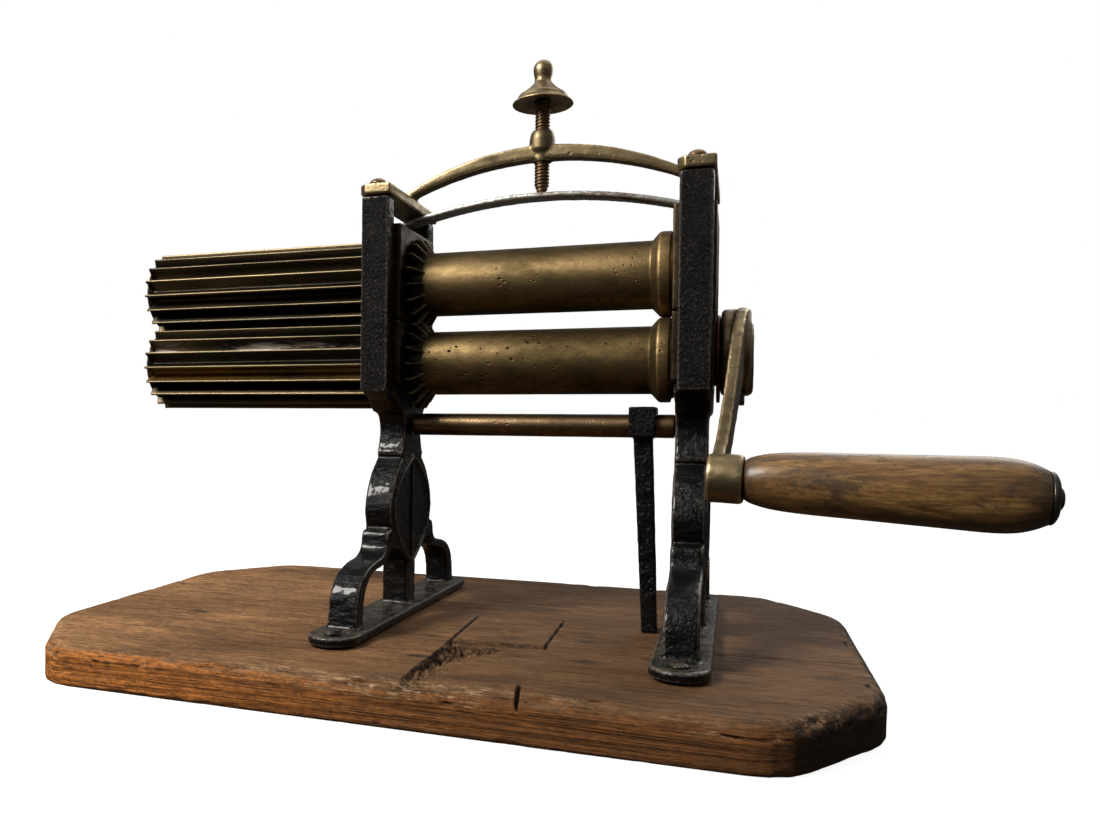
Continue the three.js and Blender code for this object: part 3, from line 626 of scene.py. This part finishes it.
def make_roller(name, node, axis, first_crest, body, materials, stains=()):
    low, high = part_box(node)
    left_low, left_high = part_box("left_upper_bearing")
    right_low, right_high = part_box("right_upper_bearing")
    gap = 0.3 * MM
    flute_end = left_low.x - gap
    crown_start = left_high.x + gap
    ring_end = right_low.x - gap
    angles, depths = tooth_rows()
    turn = angles + math.radians(first_crest)
    direction = np.stack((np.zeros(len(turn)), -np.cos(turn), np.sin(turn)), 1)
    rings, shines = [], []

    def ring(x, radius, shine=0.0):
        radius = np.broadcast_to(radius, turn.shape)
        rings.append(direction * radius[:, None] + np.array([x, axis.y, axis.z]))
        shines.append(np.broadcast_to(shine, turn.shape))

    def fluted(inset, scale=1.0):
        crest = CREST * scale - inset
        return crest - (crest - min(ROOT, crest - 0.2 * MM)) * depths

    def crests(strength=1.0):
        return strength * np.clip(1 - depths / 0.3, 0, 1)

    bore_end = -52 * MM
    ring(bore_end, 0.0002)
    ring(bore_end, BORE)
    ring(low.x + 0.5 * MM, BORE)
    ring(low.x, BORE + 0.5 * MM)
    ring(low.x, END_PLATE - 0.5 * MM, 0.2)
    ring(low.x + 0.2 * MM, END_PLATE - 0.1 * MM, 0.5)
    ring(low.x + 0.6 * MM, END_PLATE, 0.5)
    flute_start = low.x + END_THICK
    ring(flute_start, np.maximum(END_PLATE, fluted(1.2 * MM)), 0.3)
    for step in range(1, 5):
        a = math.pi / 2 * step / 4
        ring(flute_start + 1 * MM * (1 - math.cos(a)), fluted(1 * MM * (1 - math.sin(a))), crests(0.9) + 0.1)
    for x in np.linspace(flute_start + 4 * MM, flute_end - 3 * MM, 30):
        wander = noise.noise(Vector((x * 40, axis.z * 90, 0)))
        ring(x, fluted(0.12 * MM * (1 + wander)), crests())
    ring(flute_end - 0.8 * MM, fluted(0.1 * MM), crests())
    ring(flute_end, fluted(0.9 * MM), crests())
    ring(flute_end, JOURNAL + 0.5 * MM)
    ring(flute_end + 0.4 * MM, JOURNAL)
    ring(crown_start - 0.4 * MM, JOURNAL)
    ring(crown_start, JOURNAL + 0.4 * MM)
    ring(crown_start, fluted(0.8 * MM), crests())
    ring(crown_start + 0.8 * MM, fluted(0.1 * MM), crests())
    full = crown_start + 4.2 * MM
    ring(full, fluted(0.1 * MM), crests())
    for t in np.linspace(0.05, 1, 14):
        crest = CREST + (DRUM + 0.1 * MM - CREST) * t
        root = ROOT + (DRUM - ROOT) * max(0.0, t - 0.6) / 0.4
        radius = np.maximum(crest - (CREST - ROOT) * depths, root)
        rubbed = np.maximum(np.clip(1 - depths / (0.3 + 0.5 * t), 0, 1), (t > 0.8) * 0.8)
        ring(full + 6.3 * MM * t, np.minimum(radius, crest), rubbed)
    drum = [(crown_start + 10.8 * MM, DRUM + 0.02 * MM), (crown_start + 12.4 * MM, DRUM)]
    collar = ring_end - 12.2 * MM
    shaft = [(collar - 2 * MM, DRUM), (collar, DRUM), (collar + 3.6 * MM, COLLAR - 0.7 * MM),
             (collar + 4.8 * MM, COLLAR), (ring_end - 1.6 * MM, COLLAR), (ring_end - 1.6 * MM, END_RING),
             (ring_end, END_RING), (ring_end, JOURNAL), (right_high.x, JOURNAL)]
    if high.x > right_high.x + 1 * MM:
        shaft += [(right_high.x, 9 * MM), (high.x, 9 * MM)]
    for x in np.linspace(crown_start + 16 * MM, collar - 6 * MM, 24):
        drum.append((x, DRUM + 0.05 * MM * noise.noise(Vector((x * 60, axis.z * 50, 3)))))
    shaft = rounded(drum[-1:] + shaft + [(shaft[-1][0], 0.0)], 0.7 * MM)[1:]
    for x, radius in drum + [tuple(p) for p in shaft]:
        ring(x, max(radius, 0.0002))
    piece = loft(name, [[Vector(p) for p in r] for r in rings])
    shine = np.concatenate([np.concatenate(shines), [0, 0]])
    set_attribute(piece.data, "shine", shine)
    for stain, groove in stains:
        here = np.abs((angles / (2 * math.pi / TEETH) - groove - 0.5 + TEETH / 2) % TEETH - TEETH / 2) < 0.42
        layer = np.concatenate([np.tile(here, len(rings)), [0, 0]])
        set_attribute(piece.data, stain, layer * (points_of(piece.data)[:, 0] < flute_end))
    corners = np.array((collar + 4.8 * MM, ring_end - 1.6 * MM, ring_end))
    reach = np.abs(points_of(piece.data)[:, :1] - corners).min(1)
    set_attribute(piece.data, "wear", np.exp(-((reach / (0.7 * MM)) ** 2)))
    place_piece(piece, body, "brass", materials["flute"], node)
    piece.data.materials.append(materials["roller"])
    for face in piece.data.polygons:
        face.material_index = 1 if face.center.x > full + 5.6 * MM else 0


# ---- iron, board and screws ----
def oval_outline(t):
    """Half width and height of the pointed oval, from its upper point at 0 to its lower point at 1."""
    ends = ((0, 121), (47, 100), (44, 76), (0, 53.5))
    weights = ((1 - t) ** 3, 3 * t * (1 - t) ** 2, 3 * t ** 2 * (1 - t), t ** 3)
    return tuple(sum(w * e[i] for w, e in zip(weights, ends)) * MM for i in range(2))


def oval_face(side_frame):
    """The x of the oval's raised face on a CAD side frame."""
    return max(v.co.x for v in frame["nodes"][side_frame].data.vertices if 56 * MM < v.co.z < 118 * MM)


def sink_oval(mesh, face_x):
    """Clears room in the casting for the oval's hollowed face."""
    points = points_of(mesh)
    rows = np.array([oval_outline(t) for t in np.linspace(0, 1, 80)])[::-1]
    half = np.interp(points[:, 2], rows[:, 1], rows[:, 0], left=0, right=0)
    near = (points[:, 0] > face_x - 3 * MM) & (np.abs(points[:, 1]) < half - 0.6 * MM)
    points[near, 0] = np.minimum(points[near, 0], face_x - 2.6 * MM)
    mesh.vertices.foreach_set("co", points.ravel())
    mesh.update()


def make_oval(side, face_x, materials):
    """The pointed oval: a raised rim, two hollow halves and a sharp ridge up the middle."""
    rim, rim_depth, hollow, ridge = 2.1 * MM, 0.55 * MM, 1.5 * MM, 0.35 * MM
    thickness, ridge_half = 3.2 * MM, 0.7 * MM
    side_steps = np.linspace(0.72, 1, 14)
    across = np.concatenate((-side_steps[::-1], np.linspace(-0.7, 0.7, 57), side_steps))
    rings, worn = [], []
    for t in np.linspace(0.006, 0.994, 110):
        half, z = oval_outline(t)
        ring = []
        for w in across:
            edge = (1 - abs(w)) * half
            if edge < rim:
                q = edge / rim
                drop = rim_depth * (1 - math.sin(math.pi * q) ** 0.5)
            else:
                q = (edge - rim) / max(half - rim, 1e-6)
                bowl = math.sin(math.pi * min(1, 1.4 * q)) ** 0.7 * (q < 0.714)
                drop = rim_depth + (hollow - rim_depth) * bowl
                if q > 0.9:
                    drop = ridge + (drop - ridge) * (1 - (q - 0.9) / 0.1)
                if 0.35 < q < 0.93:
                    drop = max(drop, hollow * math.sin(math.pi * min(1, 0.5 + 0.55 * (1 - q))))
            ring.append(Vector((face_x - drop, w * half, z)))
            worn.append(0.95 if edge < rim * 0.8 or abs(w) * half < ridge_half else 0.0)
        back = face_x - thickness
        ring += [Vector((back, half, z)), Vector((back, -half, z))]
        worn += [0, 0]
        rings.append(ring)
    piece = loft(side + "_oval_panel", rings)
    set_attribute(piece.data, "wear", np.array(worn + [0, 0]))
    place_piece(piece, "root", "iron", materials["iron"], side + "_side_frame")


def make_frames(materials):
    for side in ("left", "right"):
        node = side + "_side_frame"
        piece = recast(side + "_frame_casting", node, 0.85 * MM, 7, [(150, 0.16 * MM), (420, 0.1 * MM)])
        sink_oval(piece.data, oval_face(node))
        place_piece(piece, "root", "iron", materials["iron"], node)
        make_oval(side, oval_face(node), materials)
    stay = recast("stay_bar", "rod_stay", 0.7 * MM, 3, [(160, 0.15 * MM), (420, 0.08 * MM)])
    place_piece(stay, "root", "iron", materials["iron"], "rod_stay")


def make_castings(materials):
    for side in ("left", "right"):
        for level, body in (("lower", "root"), ("upper", "upper_bearings")):
            node = f"{side}_{level}_bearing"
            piece = recast(f"{side}_{level}_saddle", node, 1 * MM, 2, [(200, 0.1 * MM)])
            place_piece(piece, body, "brass", materials["saddle"], node)
    piece = recast("bridge_casting", "bridge", 0.7 * MM, 5, [(130, 0.15 * MM)])
    place_piece(piece, "root", "brass", materials["brass"], "bridge")
    piece = recast("leaf_bow", "leaf_spring", 0.7 * MM, 3, [(200, 0.1 * MM)])
    place_piece(piece, "root", "steel", materials["leaf"], "leaf_spring")
    piece = recast("crank_casting", "crank_arm", 0.8 * MM, 6, [(150, 0.15 * MM)])
    place_piece(piece, "crank", "brass", materials["brass"], "crank_arm")
    piece = recast("square_set_screw", "hub_set_screw", 0.4 * MM, 2)
    place_piece(piece, "crank", "dark_steel", materials["dark_steel"], "hub_set_screw")


def convex_outline(points):
    """The convex hull of points in the XY plane, anticlockwise, in steps of about 1 mm."""
    def half(row):
        hull = []
        for p in row:
            while len(hull) > 1 and np.cross(hull[-1] - hull[-2], p - hull[-2]) <= 0:
                hull.pop()
            hull.append(p)
        return hull[:-1]
    order = points[np.lexsort((points[:, 1], points[:, 0]))]
    corners = np.array(half(list(order)) + half(list(order[::-1])))
    closed = np.vstack((corners, corners[:1]))
    reach = np.concatenate(([0], np.cumsum(np.linalg.norm(np.diff(closed, axis=0), axis=1))))
    at = np.arange(0, reach[-1], 0.001)
    return np.stack([np.interp(at, reach, closed[:, i]) for i in range(2)], 1)


def outward(loop, spread=3):
    """Unit normals of a closed anticlockwise loop."""
    along = np.roll(loop, -spread, 0) - np.roll(loop, spread, 0)
    normals = np.stack((along[:, 1], -along[:, 0]), 1)
    return normals / np.linalg.norm(normals, axis=1)[:, None]


def groove(x, y, start, end, width, depth):
    """Depth of a narrow cut between two points on the board; all sizes in millimetres."""
    a, b = np.array(start, float), np.array(end, float)
    along = (b - a) / np.linalg.norm(b - a)
    reach = (x - a[0]) * along[0] + (y - a[1]) * along[1]
    aside = np.abs((x - a[0]) * -along[1] + (y - a[1]) * along[0])
    ends = np.clip(np.minimum(reach, np.linalg.norm(b - a) - reach) / 4, 0, 1)
    return depth * ends * np.clip(1.25 - aside / (width / 2), 0, 1) ** 0.5


def fibres(x, y, across, along, seed):
    return np.array([noise.noise(Vector((a / along, b / across, seed))) for a, b in zip(x, y)])


# Cuts and cracks in the top of the board, in millimetres: start, end, width, depth.
BOARD_CUTS = (
    ((18, 6), (21.5, -69.5), 1.2, 3.5),      # saw cut to the left of the patch
    ((70, 15), (72.5, -64.5), 1.1, 3),       # saw cut to its right
    ((76, -138), (81, -175), 1.5, 4.5),      # short cut over the front edge
    ((24, -64.5), (73, -60), 1.0, 2.6),      # front edge of the patch
    ((42, -71), (74, -73.5), 1.2, 2.2),      # end of the trench's branch
    ((46, -101), (68, -97.5), 0.7, 0.9),     # cracks along the grain
    ((52, -92), (74, -84.5), 0.8, 1.0),
    ((73, -80), (92, -77.5), 0.6, 0.8),
    ((104, -110), (126, -106.5), 0.8, 1.2),
    ((157, -44), (231, -35.5), 0.9, 1.3),
    ((-150, -60), (-108, -57.5), 0.6, 0.7),
)


def board_damage(x, y):
    """How deep, in millimetres, old damage makes the top of the board at each point, and how dark it is
    painted there: painted shade that deepens with the cuts and tears, and a dark joint line along the patch's
    front edge.
    """
    depth = np.zeros(len(x))
    for cut_line in BOARD_CUTS:
        depth = np.maximum(depth, groove(x, y, *cut_line))
    # Painted shade: each cut is darker the deeper it goes.
    dark = np.clip((depth - 0.5) / 2.5, 0, 0.93)
    near = (x > 17) & (x < 76) & (y < -56)
    u, v = x[near], y[near]
    left = np.interp(v, (-165, -148, -66), (27, 22, 21))
    right = np.interp(v, (-165, -114, -92, -80, -66), (39, 41, 48, 61, 74))
    share = (u - left) / (right - left)
    deepest = np.interp(v, (-165, -120, -85, -67, -65), (1, 6, 8, 6.5, 0))
    inside = np.clip(share / 0.24, 0, 1) ** 0.8 * np.clip(1.15 * (1 - share), 0, 1) ** 1.15
    splinter = fibres(u, v, 1.3, 6, 1) + 0.9 * fibres(u, v, 0.9, 2.4, 5)
    torn = deepest * inside * (1 + 0.45 * splinter) + 1.1 * splinter * (inside > 0.12)
    torn = np.where((share > 0) & (share < 1), torn, 0)
    on_patch = (u > 21) & (u < 74)
    patch = -65 + (u - 24) * 0.11
    below = np.clip((patch - v) / 0.7, 0, 1) * np.clip((v - patch + 15) / 13, 0, 1) * on_patch
    ledge = np.interp(u, (22, 50, 74), (2.8, 2.0, 1.4)) * below * (1 + 0.2 * splinter)
    # Painted shade in the torn trench, darkest where it is deepest and broken up along the fibres; the dark
    # joint line along the patch's front edge is added to it.
    shade_and_joint = np.clip((torn - 1.2) / 4, 0, 1) * np.clip(0.5 + 0.9 * fibres(u, v, 1.2, 2.6, 9), 0, 0.92)
    shade_and_joint = np.maximum(shade_and_joint, 0.8 * (np.abs(v - patch) < 0.5) * on_patch)
    depth[near] = np.maximum(depth[near], np.maximum(ledge, torn))
    dark[near] = np.maximum(dark[near], shade_and_joint)
    return depth, dark


def make_board(materials):
    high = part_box("base_board")[1]
    arris, foot = 7.5 * MM, 2.5 * MM
    corners = np.array([v.co.xy for v in frame["nodes"]["base_board"].data.vertices])
    full = convex_outline(corners)
    inset = full - outward(full) * arris
    front, back = inset[:, 1].min(), inset[:, 1].max()
    rows_y = np.concatenate((np.arange(front, 0.018, 0.6 * MM), np.linspace(0.018, back, 46)))
    left_side = inset[inset[:, 0] < 0]
    right_side = inset[inset[:, 0] > 0]
    left_side = left_side[np.argsort(left_side[:, 1])]
    right_side = right_side[np.argsort(right_side[:, 1])]
    fine = np.arange(0.0165, 0.0835, 0.6 * MM)
    rows = []
    for y in rows_y:
        start = np.interp(y, left_side[:, 1], left_side[:, 0])
        end = np.interp(y, right_side[:, 1], right_side[:, 0])
        before, after = np.linspace(start, fine[0], 84)[:-1], np.linspace(fine[-1], end, 54)[1:]
        rows.append(np.concatenate((before, fine, after)))
    xs, ys = np.array(rows), np.repeat(rows_y[:, None], len(rows[0]), 1)
    count_x = xs.shape[1]
    index = np.arange(xs.size).reshape(xs.shape)
    rim = np.concatenate((index[0], index[1:, -1], index[-1, -2::-1], index[-2:0:-1, 0]))
    top = np.stack((xs.ravel(), ys.ravel()), 1)
    loop = top[rim]
    normal = outward(loop, 6)
    for _ in range(6):
        normal = (np.roll(normal, 1, 0) + normal + np.roll(normal, -1, 0)) / 3
    normal /= np.linalg.norm(normal, axis=1)[:, None]
    # Each level below the top: how far out, how far down, how worn.
    levels = [(arris * math.sin(a), arris * (1 - math.cos(a)), 1.0)
              for a in np.linspace(0.13, math.pi / 2, 12)]
    levels += [(arris, z, max(0.0, 1 - (z - arris) / (4 * MM)))
               for z in np.linspace(8.3 * MM, high.z - 3 * MM, 13)]
    levels += [(arris - foot * (1 - math.cos(a)), high.z - foot * (1 - math.sin(a)), 0.7)
               for a in np.linspace(0.2, math.pi / 2, 5)]
    xy = [top] + [loop + normal * out for out, _, _ in levels]
    drop = [np.zeros(len(top))] + [np.full(len(loop), down) for _, down, _ in levels]
    edge = np.min(np.linalg.norm(top[:, None] - loop[None, ::8], axis=2), 1)
    worn = [np.clip(1 - edge / (9 * MM), 0, 1) * 0.8] + [np.full(len(loop), w) for _, _, w in levels]
    xy, drop, worn = np.vstack(xy), np.concatenate(drop), np.concatenate(worn)
    away = np.vstack([np.zeros((len(top), 2))] + [normal] * len(levels))
    millimetres = xy / MM
    damage, dark = np.zeros(len(xy)), np.zeros(len(xy))
    reach = (xy[:, 0] > -0.155) & (drop < 9 * MM)
    damage[reach], dark[reach] = board_damage(*millimetres[reach].T)
    damage *= np.clip(1 - (drop / MM - 2) / 5, 0, 1)
    swell = np.array([noise.noise(Vector((a * 9, b * 14, z * 60))) for (a, b), z in zip(xy, drop)])
    chip = np.array([noise.noise(Vector((a * 95, b * 95, z * 210 + 7))) for (a, b), z in zip(xy, drop)])
    grain = fibres(*millimetres.T, 2.2, 55, 3)
    sunk = 0.5 * MM * (1 + swell) + 0.16 * MM * (1 + grain)
    chipped = np.clip(chip - 0.18, 0, 1) * 2.6 * MM * worn
    xy = xy - away * (sunk * 0.8 + chipped)[:, None]
    z = high.z - drop - np.where(drop < 7 * MM, sunk + chipped * 0.6, 0) - damage * MM
    z = np.maximum(z, np.where(drop > 15 * MM, 0.0, 2 * MM))
    z[-len(loop):] = 0
    points = np.column_stack((xy, z))
    a = index[:-1, :-1].ravel()
    faces = [tuple(f) for f in np.stack((a, a + 1, a + count_x + 1, a + count_x), 1)]
    ring = rim
    for level in range(len(levels)):
        below = len(top) + level * len(loop) + np.arange(len(loop))
        faces += [tuple(f) for f in np.stack((ring, below, np.roll(below, -1), np.roll(ring, -1)), 1)]
        ring = below
    middle = len(points)
    points = np.vstack((points, [[0, 0, 0]]))
    faces += [(int(b), int(c), middle) for b, c in zip(np.roll(ring, -1), ring)]
    mesh = bpy.data.meshes.new("softwood_board")
    mesh.from_pydata(points.tolist(), [], [tuple(map(int, f)) for f in faces])
    set_attribute(mesh, "wear", np.append(worn, 0))
    # The cut attribute carries painted shade in the deeper cuts and tears, and the dark joint line along the
    # patch.
    set_attribute(mesh, "cut", np.append(dark * (damage > 0.15), 0))
    smooth(mesh)
    place_piece(new_object("softwood_board", mesh), "root", "board_wood", materials["board"], "base_board")


def cut_slit(piece, top, half_length, half_width, depth, angle):
    """Cuts a screwdriver slit across a head whose top centre is at top."""
    slit = block("slit", (-half_length, -half_width, -depth), (half_length, half_width, 3 * MM))
    slit.data.transform(Matrix.Translation(top) @ Matrix.Rotation(angle, 4, "Z"))
    cut(piece, slit)


def make_screws(materials):
    sides = ("left", "right")
    ends = ("front", "rear")
    for number, (side, end) in enumerate((s, e) for s in sides for e in ends):
        node = f"{side}_{end}_cap_screw"
        low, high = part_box(node)
        centre = (low + high) / 2
        head, shank, rise = (high.x - low.x) / 2, 2.5 * MM, 4.2 * MM
        seat = high.z - rise + 0.3 * MM
        profile = [(low.z, 0), (low.z, shank), (seat, shank), (seat, head * 0.94), (seat + 0.5 * MM, head),
                   (seat + 1.4 * MM, head * 0.93), (seat + 2.7 * MM, head * 0.7),
                   (seat + 3.5 * MM, head * 0.38), (high.z - 0.05 * MM, 0)]
        piece = turned(f"{side}_{end}_dome", rounded(profile, 0.5 * MM), (centre.x, centre.y, 0), UP, 48)
        cut_slit(piece, (centre.x, centre.y, high.z), head, 0.65 * MM, 1.3 * MM, 0.6 + 1.1 * number)
        set_attribute(piece.data, "wear", (points_of(piece.data)[:, 2] - seat) / rise * 0.6)
        smooth(piece.data)
        place_piece(piece, "root", "dark_brass", materials["dark_brass"], node)
        node = f"{side}_{end}_foot_screw"
        low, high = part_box(node)
        centre = (low + high) / 2
        head, shank = (high.x - low.x) / 2, 2.2 * MM
        seat = high.z - 1.9 * MM
        profile = [(low.z, 0), (low.z, shank), (seat, shank), (seat, head), (seat + 0.7 * MM, head * 0.93),
                   (high.z, head * 0.5), (high.z, 0)]
        piece = turned(f"{side}_{end}_foot_head", rounded(profile, 0.4 * MM), (centre.x, centre.y, 0), UP, 48)
        cut_slit(piece, (centre.x, centre.y, high.z), head, 0.6 * MM, 1.1 * MM, 1.9 * number)
        smooth(piece.data)
        place_piece(piece, "root", "dark_steel", materials["iron"], node)


def make_pressure_screw(materials):
    low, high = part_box("pressure_screw")
    radius, pitch, depth, sides = 4.5 * MM, 2 * MM, 0.55 * MM, 40
    rings = []
    levels = [low.z] + list(np.linspace(low.z, high.z, 260))
    for number, z in enumerate(levels):
        taper = 2.6 * MM + (radius - 2.6 * MM) * min(1, (z - low.z) / (5 * MM))
        ring = []
        for k in range(sides):
            a = 2 * math.pi * k / sides
            turn = (z / pitch - k / sides) % 1
            groove = depth * (1 - abs(2 * turn - 1)) * min(1, (z - low.z) / (2 * MM))
            r = max(0, taper - groove) if number else 0.3 * MM
            ring.append(Vector((SCREW_AT.x + r * math.cos(a), SCREW_AT.y + r * math.sin(a), z)))
        rings.append(ring)
    piece = loft("threaded_shank", rings)
    place_piece(piece, "pressure_screw", "dark_brass", materials["dark_brass"], "pressure_screw")
    low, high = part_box("pressure_knob")
    rim = low.z
    under = [(SCREW_AT.z + 0.3 * MM, 0), (SCREW_AT.z + 0.3 * MM, 4.8 * MM), (rim + 1.6 * MM, 4.8 * MM),
             (rim + 1.6 * MM, 7 * MM), (rim + 0.6 * MM, 16.4 * MM)]
    disc = (high.x - low.x) / 2
    edge = [(rim, disc - 0.8 * MM), (rim + 0.4 * MM, disc), (rim + 1 * MM, disc - 0.3 * MM)]
    bell = flowing([(rim + 1.4 * MM, disc - 1.2 * MM), (rim + 3 * MM, disc - 2.6 * MM),
                    (rim + 5.4 * MM, 14.2 * MM), (rim + 8.6 * MM, 9.8 * MM),
                    (rim + 11.6 * MM, 6.6 * MM), (rim + 13.6 * MM, 5.15 * MM),
                    (rim + 15.6 * MM, 5 * MM), (rim + 18 * MM, 5.5 * MM), (rim + 20.6 * MM, 5.85 * MM),
                    (rim + 23 * MM, 5.5 * MM), (rim + 25 * MM, 4.2 * MM), (high.z - 0.4 * MM, 2.2 * MM),
                    (high.z, 0)])
    profile = [tuple(q) for q in rounded(under + edge, 0.4 * MM)] + [tuple(q) for q in bell]
    piece = turned("finial_knob", profile, (SCREW_AT.x, SCREW_AT.y, 0), UP, 96)
    reach = np.abs(points_of(piece.data)[:, 2] - rim - 0.5 * MM)
    set_attribute(piece.data, "wear", np.exp(-((reach / (0.8 * MM)) ** 2)))
    place_piece(piece, "screw_knob", "brass", materials["brass"], "pressure_knob")


def make_rod_and_washer(materials):
    low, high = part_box("tie_rod")
    centre = (low + high) / 2
    thick, thin = (high.z - low.z) / 2, 4.5 * MM
    shoulders = [v.co.x for v in frame["nodes"]["tie_rod"].data.vertices
                 if abs((v.co - centre).yz.length - thick) < 0.5 * MM]
    start = max(x for x in shoulders if x < centre.x)
    end = min(x for x in shoulders if x > centre.x)
    middle = [(x, thick + 0.06 * MM * noise.noise(Vector((x * 70, 0, 5))))
              for x in np.linspace(start + 3 * MM, end - 3 * MM, 30)]
    profile = [(low.x, 0), (low.x, thin), (start, thin), (start, thick)] + middle
    profile += [(end, thick), (end, thin), (high.x, thin), (high.x, 0)]
    piece = turned("turned_rod", rounded(profile, 0.5 * MM), (0, centre.y, centre.z), ALONG, 64)
    place_piece(piece, "root", "brass", materials["rod"], "tie_rod")
    low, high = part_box("thrust_washer")
    outer, inner = (high.z - low.z) / 2, 9.3 * MM
    profile = [(low.x, inner), (low.x, outer), (high.x, outer), (high.x, inner)]
    profile = [tuple(q) for q in rounded(profile, 0.5 * MM)]
    piece = turned("flange_washer", profile + [profile[0]], (0, LOWER_AXIS.y, LOWER_AXIS.z), ALONG, 96)
    place_piece(piece, "crank", "dark_brass", materials["washer"], "thrust_washer")


def axial_span(node):
    """Where a node starts and ends along the grip's axis, from the boss."""
    reach = [(Vector(v.co) - GRIP_AT).dot(GRIP_ALONG) for v in frame["nodes"][node].data.vertices]
    return min(reach), max(reach)


def make_grip(materials):
    start, end = axial_span("wood_grip")
    shape = [(0, 8.8), (3, 10.4), (11, 12.3), (24, 13.4), (48, 14.1), (76, 14.9), (92, 15.3), (101, 14.7),
             (107, 13.0), (end * 1000 - start * 1000, 10.8)]
    curve = flowing([(start + x * MM, (r + 0.05) * MM) for x, r in shape], 8)
    hole = 3.8 * MM
    profile = [(start, hole)] + [tuple(q) for q in curve] + [(end, hole), (start, hole)]
    piece = turned("turned_grip", profile, GRIP_AT, GRIP_ALONG, 96)
    along = (points_of(piece.data) - np.array(GRIP_AT)) @ np.array(GRIP_ALONG)
    ends = np.maximum(1 - (along - start) / (9 * MM), 1 - (end - along) / (12 * MM))
    set_attribute(piece.data, "shine", ends)
    place_piece(piece, "grip", "grip_wood", materials["grip"], "wood_grip")
    start, end = axial_span("grip_washer")
    profile = [(start, hole), (start, 10.6 * MM), (start + 1.2 * MM, 10.6 * MM),
               (start + 2.1 * MM, 9.6 * MM), (end, 7.8 * MM), (end, hole)]
    profile = [tuple(q) for q in rounded(profile, 0.5 * MM)]
    piece = turned("cup_washer", profile + [profile[0]], GRIP_AT, GRIP_ALONG, 64)
    set_attribute(piece.data, "wear", np.full(len(piece.data.vertices), 0.2))
    place_piece(piece, "crank", "dark_steel", materials["dark_steel"], "grip_washer")
    start, end = axial_span("grip_spindle")
    head = end - 2 * MM
    profile = [(start, 0), (start, 3.5 * MM), (head, 3.5 * MM), (head, 4.6 * MM), (head + 0.9 * MM, 4.3 * MM),
               (head + 1.6 * MM, 2.9 * MM), (end, 0)]
    piece = turned("riveted_spindle", rounded(profile, 0.4 * MM), GRIP_AT, GRIP_ALONG, 48)
    place_piece(piece, "crank", "dark_steel", materials["dark_steel"], "grip_spindle")


make_camera()
make_studio()
paints = make_materials()
make_board(paints)
make_frames(paints)
make_castings(paints)
make_roller("lower_fluted_roller", "lower_roller", LOWER_AXIS, CREST_DEG["lower"], "crank", paints,
            stains=(("gold", TEETH - 1), ("deposit", 1)))
make_roller("upper_fluted_roller", "upper_roller", UPPER_AXIS, CREST_DEG["upper"], "upper_roller", paints)
make_screws(paints)
make_pressure_screw(paints)
make_rod_and_washer(paints)
make_grip(paints)
